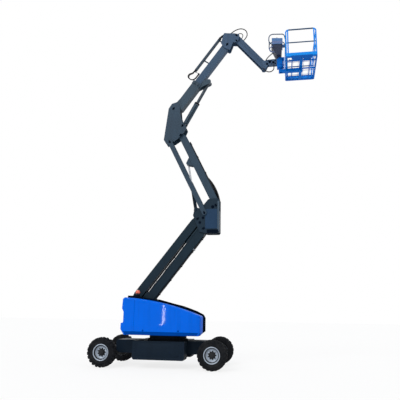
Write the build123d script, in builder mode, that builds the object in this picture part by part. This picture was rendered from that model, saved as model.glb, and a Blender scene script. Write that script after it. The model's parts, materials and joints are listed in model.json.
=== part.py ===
"""Articulating boom lift: folding twin-beam riser, mid boom, telescopic upper boom, jib and basket.

Frame: millimetres, +X towards the basket, +Y to the machine's left, +Z up. The origin is on the
ground under the middle of the machine's whole box; slew_x places the chassis centre from it.
Side outlines are drawn as (x, z) pairs measured from the chassis centre on the ground.
"""
from math import atan2, cos, degrees, hypot, radians, sin
import os

from build123d import *

os.makedirs("parts", exist_ok=True)

# ---------------------------------------------------------------- driving sizes
wheelbase = 3206.0
track = 1890.0
tyre_radius = 420.0
tyre_width = 300.0
rim_radius = 235.0
lug_height = 26.0
lug_count = 20

run_gap = 0.3        # running clearance of pins, rods and pads
side_gap = 6.0       # side clearance between parts that turn past each other
pin_radius = 32.0

frame_half_width = 400.0
frame_bottom = 380.0
frame_top = 752.0
box_front = 785.0
box_rear = -737.0
box_bottom = 232.0
box_top = frame_top
box_outer = 850.0
kingpin_y = 700.0

slew_offset = 120.0
slew_radius = 560.0
slew_bottom = frame_top
slew_height = 166.0
deck_thickness = 58.0
deck_bottom = slew_bottom + slew_height
deck_top = deck_bottom + deck_thickness
cheek_outer = 470.0
cheek_thickness = 25.0
hood_inner = 490.0
hood_outer = 950.0
hood_wall = 14.0
hood_bottom = deck_bottom - 4.0

boom_half = 140.0     # half width of the riser beams
plate_inner = boom_half + side_gap + 4.0
plate_thickness = 30.0
plate_outer = plate_inner + plate_thickness
pin_proud = 6.0       # pin ends beyond the plates they sit in
ear_inner = 68.0
ear_thickness = 24.0
ear_radius = 58.0
upper_ear_inner = 94.0     # the upper boom's ears stand outside its wide barrel
upper_ear_radius = 80.0
eye_wall = 12.0       # a rod's eye beyond the rod's own radius

# pivots as drawn, (x, z) from the chassis centre
riser_angle = 52.2
riser_length = 3150.0
riser_upper_foot = (-930.0, 1952.0)
riser_spread = (190.0, -310.0)        # from an upper beam pivot to its lower beam pivot
riser_depth = 258.0
riser_shift = 11.0                    # each riser beam's centre line away from the other beam
mid_angle = 116.1
mid_length = 2683.0
elbow_to_mid = (575.0, 420.0)         # from the upper riser pivot to the mid boom's foot pivot
mid_spread = (-360.0, -240.0)         # from a mid boom pivot to its link pivot
mid_depth = 236.0
mid_half = 118.0
link_depth = 150.0
link_thickness = 32.0
link_inner = plate_outer + pin_proud + side_gap
knuckle_rise = (-270.0, 950.0)        # from the mid boom's head pivot to the upper boom's pivot
boom_angle = 53.9
boom_drop = 92.0                      # upper boom's centre line below its pivot
head_drop = 18.0                      # the head's pivot below the boom's centre line
outer_depth = 290.0
outer_half = 132.0
outer_wall = 12.0
outer_length = 1225.0
inner_depth = 240.0
inner_half = 104.0
inner_wall = 10.0
nose_radius = 110.0
pad_high = outer_depth / 2 - outer_wall - inner_depth / 2 - run_gap
pad_wide = outer_half - outer_wall - inner_half - run_gap
inner_tail = 925.0
inner_length = 1875.0
travel = 750.0
jib_angle = -50.0
jib_length = 1400.0

basket_length = 986.0
basket_width = 1596.0
basket_height = 1000.0
rail_radius = 21.0
floor_thickness = 40.0
toe_height = 150.0


def ahead(point, angle, distance, side=0.0):
    """Point at a distance along an angle, and at a distance to the left of it."""
    a = radians(angle)
    return (point[0] + distance * cos(a) - side * sin(a), point[1] + distance * sin(a) + side * cos(a))


def shifted(point, step):
    return (point[0] + step[0], point[1] + step[1])


riser_lower_foot = shifted(riser_upper_foot, riser_spread)
riser_upper_head = ahead(riser_upper_foot, riser_angle, riser_length)
riser_lower_head = shifted(riser_upper_head, riser_spread)
mid_foot = shifted(riser_upper_head, elbow_to_mid)
link_foot = shifted(mid_foot, mid_spread)
mid_head = ahead(mid_foot, mid_angle, mid_length)
link_head = shifted(mid_head, mid_spread)
boom_pivot = shifted(mid_head, knuckle_rise)
inner_end = ahead(boom_pivot, boom_angle, inner_tail + inner_length, -boom_drop)
head_pivot = ahead(inner_end, boom_angle, 104.0, -head_drop)
jib_pivot = shifted(head_pivot, (320.0, 320.0))
jib_spread = (0.0, -205.0)            # from the jib arm's pivot to its link's pivot
jib_link_pivot = shifted(jib_pivot, jib_spread)
jib_end = ahead(jib_pivot, jib_angle, jib_length)
jib_link_end = shifted(jib_end, jib_spread)
rotator_x = jib_end[0] + 565.0
basket_rear = rotator_x + 150.0
basket_floor = jib_end[1] - 278.0
reach_front = basket_rear + basket_length
reach_rear = wheelbase / 2 + tyre_radius
slew_x = (reach_rear - reach_front) / 2      # puts the whole box's middle at x = 0

riser_base_pin = (250.0, 1120.0)
riser_rod_pin = ahead(riser_lower_foot, riser_angle, 400.0, -235.0)
mid_base_pin = shifted(riser_upper_head, (-80.0, 280.0))
mid_rod_eye = (1716.0, 205.0)         # along and to the left of the mid boom's centre line
mid_rod_pin = ahead(mid_foot, mid_angle, *mid_rod_eye)
upper_base_pin = shifted(mid_head, (50.0, 330.0))
upper_rod_eye = (1460.0, -380.0)
upper_rod_pin = ahead(boom_pivot, boom_angle, *upper_rod_eye)


def side(y):
    """Drawing plane facing -Y at height y of the machine's width; extrude goes towards -Y."""
    return Plane(origin=(slew_x, y, 0), x_dir=(1, 0, 0), z_dir=(0, -1, 0))


def along(point, angle, y=0.0):
    """Drawing plane with its x along an angle of the side view, starting at a point."""
    a = radians(angle)
    return Plane(origin=(slew_x + point[0], y, point[1]), x_dir=(cos(a), 0, sin(a)), z_dir=(0, -1, 0))


def pin(point, radius, half_length, mode=Mode.ADD):
    """Round pin or hole across the machine at a pivot, inside a BuildPart block."""
    with BuildSketch(side(half_length), mode=Mode.PRIVATE) as ring:
        with Locations(point):
            Circle(radius)
    extrude(ring.sketch, amount=2 * half_length, mode=mode)


def stubs(point, radius, inner, outer):
    """Short pins on both sides of the machine's middle, which leave the space between them free."""
    for y in (outer, -inner):
        with BuildSketch(side(y), mode=Mode.PRIVATE) as ring:
            with Locations(point):
                Circle(radius)
        extrude(ring.sketch, amount=outer - inner)


def slab(points, y_low, y_high, mode=Mode.ADD):
    """Flat plate of an outline between two widths, inside a BuildPart block."""
    with BuildSketch(side(y_high), mode=Mode.PRIVATE) as face:
        Polygon(*points, align=None)
    extrude(face.sketch, amount=y_high - y_low, mode=mode)


def pair(points, inner, outer, mode=Mode.ADD):
    """The same plate on both sides of the machine's middle."""
    slab(points, inner, outer, mode)
    slab(points, -outer, -inner, mode)


def save(block, label):
    block.part.label = label
    export_step(block.part, f"parts/{label}.step")


def box_beam(start, angle, length, depth, half_width, wall, offset, eye_radius, boss_radius):
    """Box beam between two pivots: open ends with cheeks, each pivot in a bored boss."""
    plane = along(start, angle)
    with BuildPart() as beam:
        with BuildSketch(plane):
            with Locations((0, 0), (length, 0)):
                Circle(eye_radius)
            with Locations((length / 2, offset)):
                Rectangle(length - 2.6 * eye_radius, depth)
            make_hull()
        extrude(amount=half_width, both=True)
        with BuildSketch(plane):
            with Locations((length / 2, offset)):
                Rectangle(length + 4 * eye_radius, depth - 2 * wall)
        extrude(amount=half_width - wall, both=True, mode=Mode.SUBTRACT)
        with BuildSketch(plane):
            with Locations((0, 0), (length, 0)):
                Circle(boss_radius)
        extrude(amount=half_width, both=True)
        with BuildSketch(plane):
            with Locations((0, 0), (length, 0)):
                Circle(pin_radius + run_gap)
        extrude(amount=half_width, both=True, mode=Mode.SUBTRACT)
    return beam


def ears(foot, angle, eye, root, radius=ear_radius, inner=ear_inner):
    """Two clevis plates for a rod's eye; root is the seam's (along, length, side)."""
    for y in (inner + ear_thickness, -inner):
        with BuildSketch(along(foot, angle, y), mode=Mode.PRIVATE) as plate:
            with Locations(eye):
                Circle(radius)
            with Locations((root[0], root[2])):
                Rectangle(root[1], 4)
            make_hull()
        extrude(plate.sketch, amount=ear_thickness)


# ---------------------------------------------------------------- wheels
# corner name, x sign, y sign
corners = [("front_left", 1, 1), ("front_right", 1, -1), ("rear_left", -1, 1), ("rear_right", -1, -1)]
rim_edge = rim_radius - run_gap
rim_profile = [(60, -70), (rim_edge - 26, -70), (rim_edge - 26, -130), (rim_edge, -130),
               (rim_edge, 125), (rim_edge - 22, 125), (rim_edge - 32, 60), (150, 20), (60, 20)]


def wheel_plane(sx, sy):
    """Plane on a wheel's centre with its x upwards and its normal pointing out of the machine."""
    centre = (slew_x + sx * wheelbase / 2, sy * track / 2, tyre_radius)
    return Plane(origin=centre, x_dir=(0, 0, 1), z_dir=(0, sy, 0))


def tyre(sx, sy):
    hub = wheel_plane(sx, sy)
    body_radius = tyre_radius - lug_height
    half = tyre_width / 2
    outline = [(rim_radius, -half + 25), (rim_radius + 55, -half), (body_radius - 30, -half + 8),
               (body_radius, -half + 45), (body_radius, half - 45), (body_radius - 30, half - 8),
               (rim_radius + 55, half), (rim_radius, half - 25)]
    with BuildPart() as piece:
        with BuildSketch(Plane(origin=hub.origin, x_dir=hub.x_dir, z_dir=hub.y_dir)):
            Polygon(*[(r, -w) for r, w in outline], align=None)
        revolve(axis=Axis(hub.origin, hub.z_dir))
        for row, turn in ((-1, 0.0), (1, 180.0 / lug_count)):
            lug = Plane(hub.origin, hub.x_dir, hub.z_dir).offset(row * (half - 62) - 52)
            with BuildSketch(lug):
                with PolarLocations(body_radius, lug_count, start_angle=turn):
                    Rectangle(2 * lug_height, 62)
            extrude(amount=104)
    return piece


def rim(sx, sy):
    hub = wheel_plane(sx, sy)
    with BuildPart() as piece:
        with BuildSketch(Plane(origin=hub.origin, x_dir=hub.x_dir, z_dir=hub.y_dir)):
            Polygon(*[(r, -w) for r, w in rim_profile], align=None)
        revolve(axis=Axis(hub.origin, hub.z_dir))
        with BuildSketch(hub.offset(20)):
            with PolarLocations(100, 9):
                Circle(11)
        extrude(amount=24)
    return piece


for name, sx, sy in corners:
    save(tyre(sx, sy), f"tyre_{name}")
    save(rim(sx, sy), f"rim_{name}")

hub_reach = 60.0 - run_gap            # wheel spindle in the rim's middle
for word, sy in (("left", 1), ("right", -1)):
    hub = wheel_plane(1, sy)
    with BuildPart() as knuckle_part:
        with BuildSketch(hub.offset(-120)):
            Circle(hub_reach)
        extrude(amount=150)
        with BuildSketch(hub.offset(-215)):
            Circle(105)
        extrude(amount=95)
        with BuildSketch(Plane(origin=(slew_x + wheelbase / 2, sy * kingpin_y, tyre_radius - 120))):
            Circle(55)
        extrude(amount=240)
        with BuildSketch(hub.offset(-(track / 2 - kingpin_y))):
            Circle(90)
        extrude(amount=40)
    save(knuckle_part, f"steer_knuckle_{word}")

# ---------------------------------------------------------------- chassis
axle_end = kingpin_y - 75.0
frame_end = wheelbase / 2 - 230.0
eye_radius_bore = 22.0
lug_thickness = 24.0
lug_reach = 50.0
lug_y = 330.0
lug_z = 530.0
with BuildPart() as chassis_frame:
    slab([(-frame_end, frame_bottom + 60), (-frame_end + 120, frame_bottom), (frame_end - 120, frame_bottom),
          (frame_end, frame_bottom + 60), (frame_end, frame_top - 40), (frame_end - 40, frame_top),
          (-frame_end + 40, frame_top), (-frame_end, frame_top - 40)], -frame_half_width, frame_half_width)
    for sx in (-1, 1):
        for y in (-lug_y, lug_y):
            with BuildSketch(Plane(origin=(slew_x, 0, lug_z - lug_thickness / 2))):
                with Locations((sx * (frame_end + lug_reach / 2), y)):
                    Rectangle(lug_reach, 100)
                with Locations((sx * (frame_end + lug_reach), y)):
                    Circle(50)
                with Locations((sx * (frame_end + lug_reach), y)):
                    Circle(eye_radius_bore, mode=Mode.SUBTRACT)
            extrude(amount=lug_thickness)
save(chassis_frame, "chassis_frame")

with BuildPart() as chassis_boxes:
    for y_low, y_high in ((frame_half_width, box_outer), (-box_outer, -frame_half_width)):
        slab([(box_rear, box_bottom + 40), (box_rear + 40, box_bottom), (box_front - 40, box_bottom),
              (box_front, box_bottom + 40), (box_front, box_top), (box_rear, box_top)], y_low, y_high)
save(chassis_boxes, "chassis_boxes")

for word, sx, half_span in (("front", 1, axle_end), ("rear", -1, track / 2 - 155)):
    centre = slew_x + sx * wheelbase / 2
    with BuildPart() as axle:
        with BuildSketch(Plane(origin=(centre, half_span, tyre_radius), x_dir=(1, 0, 0), z_dir=(0, -1, 0))):
            Circle(80)
        extrude(amount=2 * half_span)
        with BuildSketch(Plane(origin=(centre, 0, tyre_radius), x_dir=(1, 0, 0), z_dir=(0, -1, 0))):
            Rectangle(230, 250)
        extrude(amount=260, both=True)
        with BuildSketch(side(260)):
            with Locations((sx * (wheelbase / 2 - 150), 500)):
                Rectangle(160, 100)
        extrude(amount=520)
        if sx > 0:
            for sy in (-1, 1):
                for z in (tyre_radius - 120 - 30 - run_gap, tyre_radius + 120 + run_gap):
                    with BuildSketch(Plane(origin=(centre, 0, z))):
                        with Locations((0, sy * (kingpin_y - 50))):
                            Rectangle(120, 200)
                    extrude(amount=30)
                with BuildSketch(Plane(origin=(centre, 0, tyre_radius - 150 - run_gap))):
                    with Locations((0, sy * (axle_end - 35))):
                        Rectangle(120, 60)
                extrude(amount=300 + 2 * run_gap)
        else:
            for sy in (-1, 1):
                hub = wheel_plane(-1, sy)
                with BuildSketch(hub.offset(-215)):
                    Circle(105)
                extrude(amount=95)
                with BuildSketch(hub.offset(-120)):
                    Circle(hub_reach)
                extrude(amount=150)
    save(axle, f"{word}_axle")

with BuildPart() as slew_ring:
    with BuildSketch(Plane(origin=(slew_x + slew_offset, 0, slew_bottom))):
        Circle(slew_radius)
        Circle(slew_radius - 130, mode=Mode.SUBTRACT)
    extrude(amount=slew_height - run_gap)
save(slew_ring, "slew_ring")

# ---------------------------------------------------------------- turntable
beacon_x = -775.0
beacon_radius = 72.0
beacon_y = -(cheek_outer - beacon_radius)
beacon_base = 2061.0
nose_x = 1195.0
nose_low = 1004.0
nose_foot = 1157.0
cheek_outline = [(-1000, deck_top), (-1040, 1100), (-1040, 1960), (-1060, 1990), (-1060, 2040), (-700, 2040),
                 (-640, 1985), (-288, 1952), (179, 1832), (500, 1757), (692, 1694), (934, 1605), (1134, 1509),
                 (1190, 1419), (nose_x, 1400), (nose_x, nose_low), (nose_foot, deck_top)]
wing_edge = 880.0                     # the deck's edge under the covers
pad_top = 1005.0
# side, sign, deck wing's front, pad places, hinge, front edge from the floor up, middle of the top's curve
hoods = [
    ("right", -1, 1140, (-850, 100, 1060), (1235.0, 505.0),
     [(1190, hood_bottom), (1255, 990), (1262, 1440), (1245, 1466)], (150, 1812)),
    ("left", 1, 990, (-850, 100, 920), (1076.0, 505.0),
     [(1035, hood_bottom), (1096, 990), (1096, 1400), (1052, 1500), (860, 1610)], (0, 1844.6)),
]
hood_rear = [(-1000, hood_bottom), (-1100, 1070), (-1100, 1244), (-1030, 1262), (-1030, 1567), (-1080, 1652),
             (-1066, 1930), (-1010, 1978)]
bracket_outline = [(-1040, deck_top), (-1060, 1900), (-1030, 2010), (-960, 2050), (-880, 2030), (-640, 1720),
                   (-480, 1300), (-480, deck_top)]
with BuildPart() as turntable_frame:
    slab([(-1000, deck_bottom), (1080, deck_bottom), (nose_foot, deck_top), (-1000, deck_top)], -cheek_outer,
         cheek_outer)
    for word, sy, wing_front, pads, hinge, front, crown in hoods:
        low, high = sorted((sy * cheek_outer, sy * wing_edge))
        slab([(-900, deck_bottom), (wing_front, deck_bottom), (wing_front, deck_top), (-900, deck_top)], low, high)
        low, high = sorted((sy * (wing_edge - 40), sy * (hood_outer - hood_wall - run_gap)))
        for x in pads:
            slab([(x - 45, deck_top), (x + 45, deck_top), (x + 45, pad_top), (x - 45, pad_top)], low, high)
    pair(cheek_outline, cheek_outer - cheek_thickness, cheek_outer)
    slab([(1097, deck_top), (nose_foot, deck_top), (nose_x, nose_low), (nose_x, 1400), (1130, 1400), (1097, 1150)],
         -cheek_outer, cheek_outer)
    pair(bracket_outline, plate_inner, plate_outer)
    slab([(-1040, deck_top), (-1040, 1500), (-1010, 1500), (-1010, deck_top)], -cheek_outer, cheek_outer)
    pin(riser_upper_foot, pin_radius, plate_outer + pin_proud)
    pin(riser_lower_foot, pin_radius, plate_outer + pin_proud)
    pair([(120, deck_top), (180, 1190), (250, 1210), (320, 1190), (380, deck_top)], 66, 90)
    pin(riser_base_pin, pin_radius, 100)
    with BuildSketch(Plane(origin=(slew_x, 0, beacon_base - 30))):
        with Locations((beacon_x, (beacon_y - 40 - cheek_outer + cheek_thickness) / 2 + 40)):
            Rectangle(100, cheek_outer - cheek_thickness + beacon_y + 80)
    extrude(amount=30)
save(turntable_frame, "turntable_frame")

with BuildPart() as counterweight:
    slab([(-1000, deck_top), (-1000, 1380), (-560, 1380), (-540, 1300), (-540, deck_top)],
         plate_outer, cheek_outer - cheek_thickness)
    slab([(-1000, deck_top), (-1000, 1380), (-560, 1380), (-540, 1300), (-540, deck_top)],
         -cheek_outer + cheek_thickness, -plate_outer)
save(counterweight, "counterweight")

for word, sy, wing_front, pads, hinge, front, crown in hoods:
    start = Plane(origin=(slew_x, sy * hood_inner, 0), x_dir=(1, 0, 0), z_dir=(0, -1, 0))
    with BuildPart() as hood:
        with BuildSketch(start):
            with BuildLine():
                Polyline(*front[::-1], *hood_rear)
                ThreePointArc(hood_rear[-1], crown, front[-1])
            make_face()
        extrude(amount=-sy * (hood_outer - hood_inner))
        outer_face = hood.faces().filter_by(Axis.Y).sort_by(Axis.Y)[-1 if sy > 0 else 0]
        floor_edge = outer_face.edges().sort_by(Axis.Z)[0]
        fillet([edge for edge in outer_face.edges() if edge != floor_edge], 26)
        inner_face = hood.faces().filter_by(Axis.Y).sort_by(Axis.Y)[0 if sy > 0 else -1]
        offset(amount=-hood_wall, openings=[inner_face, hood.faces().sort_by(Axis.Z)[0]])
    save(hood, f"hood_{word}")

block_inner = cheek_outer + 10.0
block_outer = wing_edge - 50.0
block_rear = -800.0
block_front = 420.0
block_high = 1550.0
with BuildPart() as engine_block:
    slab([(block_rear, deck_top), (block_rear, block_high + 50), (0, block_high - 10), (block_front, block_high - 200),
          (block_front, deck_top)], -block_outer, -block_inner)
save(engine_block, "engine_block")
with BuildPart() as tank_block:
    slab([(block_rear, deck_top), (block_rear, block_high), (block_front, block_high - 150), (block_front, deck_top)],
         block_inner, block_outer)
save(tank_block, "tank_block")

with BuildPart() as beacon:
    with BuildSketch(Plane(origin=(slew_x + beacon_x, beacon_y, beacon_base))):
        Circle(40)
    extrude(amount=40)
    with BuildSketch(Plane(origin=(slew_x + beacon_x, beacon_y, beacon_base + 40))):
        Circle(beacon_radius)
    extrude(amount=110, taper=8)
save(beacon, "beacon")

# ---------------------------------------------------------------- riser, elbow, mid boom, knuckle
beam_wall = 9.0
riser_upper_beam = box_beam(riser_upper_foot, riser_angle, riser_length, riser_depth, boom_half, beam_wall,
                            riser_shift, 105.0, 62.0)
save(riser_upper_beam, "riser_upper_beam")

riser_box = box_beam(riser_lower_foot, riser_angle, riser_length, riser_depth, boom_half, beam_wall,
                     -riser_shift, 105.0, 62.0)
with BuildPart() as riser_lower_beam:
    add(riser_box.part)
    ears(riser_lower_foot, riser_angle, (400.0, -235.0), (400.0, 300.0, -138.0))
save(riser_lower_beam, "riser_lower_beam")

elbow_outline = [(-150, 110), (-90, 370), (90, 330), (330, 620), (420, 640), (640, 640), (690, 600),
                 (690, -430), (640, -470), (300, -470), (60, -420), (-60, -120)]
with BuildPart() as elbow:
    plate = [shifted(riser_upper_head, p) for p in elbow_outline]
    pair(plate, plate_inner, plate_outer)
    web = [shifted(riser_upper_head, p) for p in [(650, -430), (690, -430), (690, 250), (650, 250)]]
    slab(web, -plate_inner, plate_inner)
    for point in (riser_upper_head, riser_lower_head, mid_foot, mid_base_pin):
        pin(point, pin_radius, plate_outer + pin_proud)
    pin(link_foot, pin_radius, link_inner + link_thickness + pin_proud)
    pin(link_foot, pin_radius + 1, plate_inner + 1, mode=Mode.SUBTRACT)
save(elbow, "elbow")

mid_box = box_beam(mid_foot, mid_angle, mid_length, mid_depth, mid_half, beam_wall, -28.0, 92.0, 58.0)
with BuildPart() as mid_beam:
    add(mid_box.part)
    ears(mid_foot, mid_angle, mid_rod_eye, (1716.0, 330.0, 88.0))
save(mid_beam, "mid_beam")

with BuildPart() as mid_link:
    for y in (link_inner + link_thickness, -link_inner):
        with BuildSketch(along(link_foot, mid_angle, y)):
            with Locations((0, 0), (mid_length, 0)):
                Circle(link_depth / 2)
            make_hull()
        extrude(amount=link_thickness)
        with BuildSketch(along(link_foot, mid_angle, y)):
            with Locations((0, 0), (mid_length, 0)):
                Circle(pin_radius + run_gap)
        extrude(amount=link_thickness, mode=Mode.SUBTRACT)
    with BuildSketch(along(link_foot, mid_angle, link_inner)):
        with Locations((mid_length * 0.86, 0)):
            Circle(30)
    extrude(amount=2 * link_inner)
save(mid_link, "mid_link")

knuckle_outline = [(-574, -150), (-440, 955), (-330, 1130), (-160, 1180), (-60, 1010), (-30, 690), (35, 490),
                   (144, 318), (173, 232), (108, 90), (-65, -100), (-230, -215), (-495, -280)]
with BuildPart() as knuckle:
    pair([shifted(mid_head, p) for p in knuckle_outline], plate_inner, plate_outer)
    back = [(-566, -80), (-538, -80), (-415, 930), (-443, 930)]
    slab([shifted(mid_head, p) for p in back], -plate_inner, plate_inner)
    for point in (mid_head, boom_pivot, upper_base_pin):
        pin(point, pin_radius, plate_outer + pin_proud)
    pin(link_head, pin_radius, link_inner + link_thickness + pin_proud)
    pin(link_head, pin_radius + 1, plate_inner + 1, mode=Mode.SUBTRACT)
save(knuckle, "knuckle")

# ---------------------------------------------------------------- upper boom
axis_start = ahead(boom_pivot, boom_angle, 0.0, -boom_drop)
with BuildPart() as boom_outer:
    with BuildSketch(along(boom_pivot, boom_angle)):
        Circle(95)
        with Locations((290, -boom_drop)):
            Rectangle(300, outer_depth)
        make_hull()
    extrude(amount=outer_half, both=True)
    with BuildSketch(along(axis_start, boom_angle)):
        with Locations((outer_length / 2 + 120, 0)):
            Rectangle(outer_length - 240, outer_depth)
    extrude(amount=outer_half, both=True)
    with BuildSketch(along(axis_start, boom_angle)):
        with Locations((outer_length - 60, 0)):
            Rectangle(120, outer_depth + 24)
    extrude(amount=outer_half + 10, both=True)
    with BuildSketch(along(axis_start, boom_angle)):
        with Locations((outer_length / 2 + 60, 0)):
            Rectangle(outer_length - 120, outer_depth - 2 * outer_wall)
    extrude(amount=outer_half - outer_wall, both=True, mode=Mode.SUBTRACT)
    pin(boom_pivot, 60, outer_half)
    pin(boom_pivot, pin_radius + run_gap, outer_half, mode=Mode.SUBTRACT)
    ears(boom_pivot, boom_angle, upper_rod_eye, (1225.0, 350.0, -boom_drop - outer_depth / 2 + 6),
         upper_ear_radius, upper_ear_inner)
    mouth = along(axis_start, boom_angle)
    for y, half_wide, half_gap in ((1, inner_half - 20, 0), (-1, inner_half - 20, 0)):
        with BuildSketch(mouth):
            with Locations((outer_length - 60, y * (inner_depth / 2 + run_gap + pad_high / 2 + 1))):
                Rectangle(100, pad_high + 2)
        extrude(amount=half_wide, both=True)
    for sy in (-1, 1):
        with BuildSketch(along(axis_start, boom_angle, sy * (inner_half + run_gap) + (pad_wide + 2 if sy > 0 else 0))):
            with Locations((outer_length - 60, 0)):
                Rectangle(100, inner_depth - 60)
        extrude(amount=pad_wide + 2)
save(boom_outer, "boom_outer")

with BuildPart() as boom_inner:
    with BuildSketch(along(axis_start, boom_angle)):
        with Locations((inner_tail + inner_length / 2, 0)):
            Rectangle(inner_length, inner_depth)
    extrude(amount=inner_half, both=True)
    with BuildSketch(along(axis_start, boom_angle)):
        with Locations((inner_tail + inner_length / 2, 0)):
            Rectangle(inner_length, inner_depth - 2 * inner_wall)
    extrude(amount=inner_half - inner_wall, both=True, mode=Mode.SUBTRACT)
    for y in (inner_half, -inner_half + inner_wall):
        with BuildSketch(along(axis_start, boom_angle, y)):
            with Locations((inner_tail + inner_length + 104, -head_drop)):
                Circle(nose_radius)
            with Locations((inner_tail + inner_length - 40, 0)):
                Rectangle(80, inner_depth)
            make_hull()
        extrude(amount=inner_wall)
    pin(head_pivot, 52, inner_half)
    pin(head_pivot, pin_radius + run_gap, inner_half, mode=Mode.SUBTRACT)
save(boom_inner, "boom_inner")

tray_low = 257.0
tray_depth = 56.0
with BuildPart() as hose_tray:
    with BuildSketch(along(boom_pivot, boom_angle)):
        with Locations(((1573 + 3040) / 2, tray_low + tray_depth / 2)):
            Rectangle(3040 - 1573, tray_depth)
    extrude(amount=50, both=True)
    for s in (2040, 2930):
        with BuildSketch(along(boom_pivot, boom_angle)):
            with Locations((s, (tray_low + inner_depth / 2 - boom_drop) / 2)):
                Rectangle(24, tray_low - inner_depth / 2 + boom_drop)
        extrude(amount=30, both=True)
save(hose_tray, "hose_tray")

head_inner = inner_half + side_gap + 4
head_outer = head_inner + 24
arm_half = 62.0
arm_depth = 180.0
arm_drop = 20.0                       # the arm's centre line below its pivots
mount_inner = arm_half + 5
mount_outer = mount_inner + 20
bar_inner = mount_outer + 5
bar_outer = head_inner - side_gap
bar_radius = 45.0
head_outline = [(-215, 60), (-125, 405), (-95, 440), (40, 420), (250, 400), (400, 352), (420, 300), (375, 90),
                (330, 58), (265, 62), (200, 70), (110, -175), (65, -205), (-90, -120)]
with BuildPart() as boom_head:
    pair([shifted(head_pivot, p) for p in head_outline], head_inner, head_outer)
    for point in (head_pivot, jib_pivot):
        pin(point, pin_radius, head_outer + pin_proud)
    stubs(jib_link_pivot, pin_radius - 6, bar_inner - 2, head_outer + pin_proud)
save(boom_head, "boom_head")

# ---------------------------------------------------------------- jib and platform mount
jib_arm = box_beam(jib_pivot, jib_angle, jib_length, arm_depth, arm_half, 8.0, -arm_drop, 68.0, 50.0)
save(jib_arm, "jib_arm")
with BuildPart() as jib_link:
    for y in (bar_outer, -bar_inner):
        with BuildSketch(along(jib_link_pivot, jib_angle, y)):
            with Locations((0, 0), (jib_length, 0)):
                Circle(bar_radius)
            make_hull()
            with Locations((0, 0), (jib_length, 0)):
                Circle(pin_radius - 6 + run_gap, mode=Mode.SUBTRACT)
        extrude(amount=bar_outer - bar_inner)
save(jib_link, "jib_link")

rotator_low = basket_floor + 60.0
rotator_high = rotator_low + 330.0
rotator_radius = 82.0
mount_reach = 440.0                   # from the jib's end pivot to the rotator's flat back
mount_outline = [(-72, -205), (-52, -262), (0, -275), (60, -262), (100, -180), (150, -85), (mount_reach, -85),
                 (mount_reach, 105), (150, 92), (60, 72), (-20, 72), (-62, 40), (-75, -40)]
with BuildPart() as jib_mount:
    pair([shifted(jib_end, p) for p in mount_outline], mount_inner, mount_outer)
    block = [(180, -85), (mount_reach, -85), (mount_reach, 105), (180, 93)]
    slab([shifted(jib_end, p) for p in block], -mount_inner, mount_inner)
    pin(jib_end, pin_radius, mount_outer + 2)
    stubs(jib_link_end, pin_radius - 6, mount_inner, bar_outer + pin_proud)
save(jib_mount, "jib_mount")

with BuildPart() as rotator:
    with BuildSketch(Plane(origin=(slew_x + rotator_x, 0, rotator_low))):
        Circle(rotator_radius)
        with Locations(((jib_end[0] + mount_reach - rotator_x) / 2, 0)):
            Rectangle(rotator_x - jib_end[0] - mount_reach, 150)
    extrude(amount=rotator_high - rotator_low)
    with BuildSketch(Plane(origin=(slew_x + rotator_x, 0, rotator_low - 80))):
        Circle(35)
    extrude(amount=rotator_high - rotator_low + 140)
save(rotator, "rotator")

basket_middle = basket_rear + basket_length / 2
with BuildPart() as platform_arm:
    with BuildSketch(Plane(origin=(slew_x, 0, basket_floor - 90))):
        with Locations(((rotator_x - 70 + basket_middle + 60) / 2, 0)):
            Rectangle(basket_middle - rotator_x + 130, 130)
        with Locations((rotator_x, 0)):
            Circle(35 + run_gap, mode=Mode.SUBTRACT)
    extrude(amount=90 - run_gap)
    with BuildSketch(Plane(origin=(slew_x, 0, rotator_high + 10))):
        with Locations((rotator_x + 25, 0)):
            Rectangle(190, 130)
        with Locations((rotator_x, 0)):
            Circle(35 + run_gap, mode=Mode.SUBTRACT)
    extrude(amount=40)
    with BuildSketch(Plane(origin=(slew_x, 0, basket_floor - 40))):
        with Locations((rotator_x + 105, 0)):
            Rectangle(30, 130)
    extrude(amount=rotator_high + 50 - basket_floor + 40)
save(platform_arm, "platform_arm")

with BuildPart() as platform_floor:
    ring_plane = Plane(origin=(slew_x + basket_middle, 0, basket_floor))
    with BuildSketch(ring_plane):
        RectangleRounded(basket_length, basket_width, 60)
        RectangleRounded(basket_length - 90, basket_width - 90, 40, mode=Mode.SUBTRACT)
        with Locations((0, 0)):
            Rectangle(100, basket_width - 60)
        with Locations((-basket_length / 3.4, 0), (basket_length / 3.4, 0)):
            Rectangle(24, basket_width - 60)
        with Locations((0, -basket_width * 0.33), (0, 0), (0, basket_width * 0.33)):
            Rectangle(basket_length - 60, 24)
    extrude(amount=floor_thickness)
save(platform_floor, "platform_floor")

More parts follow.
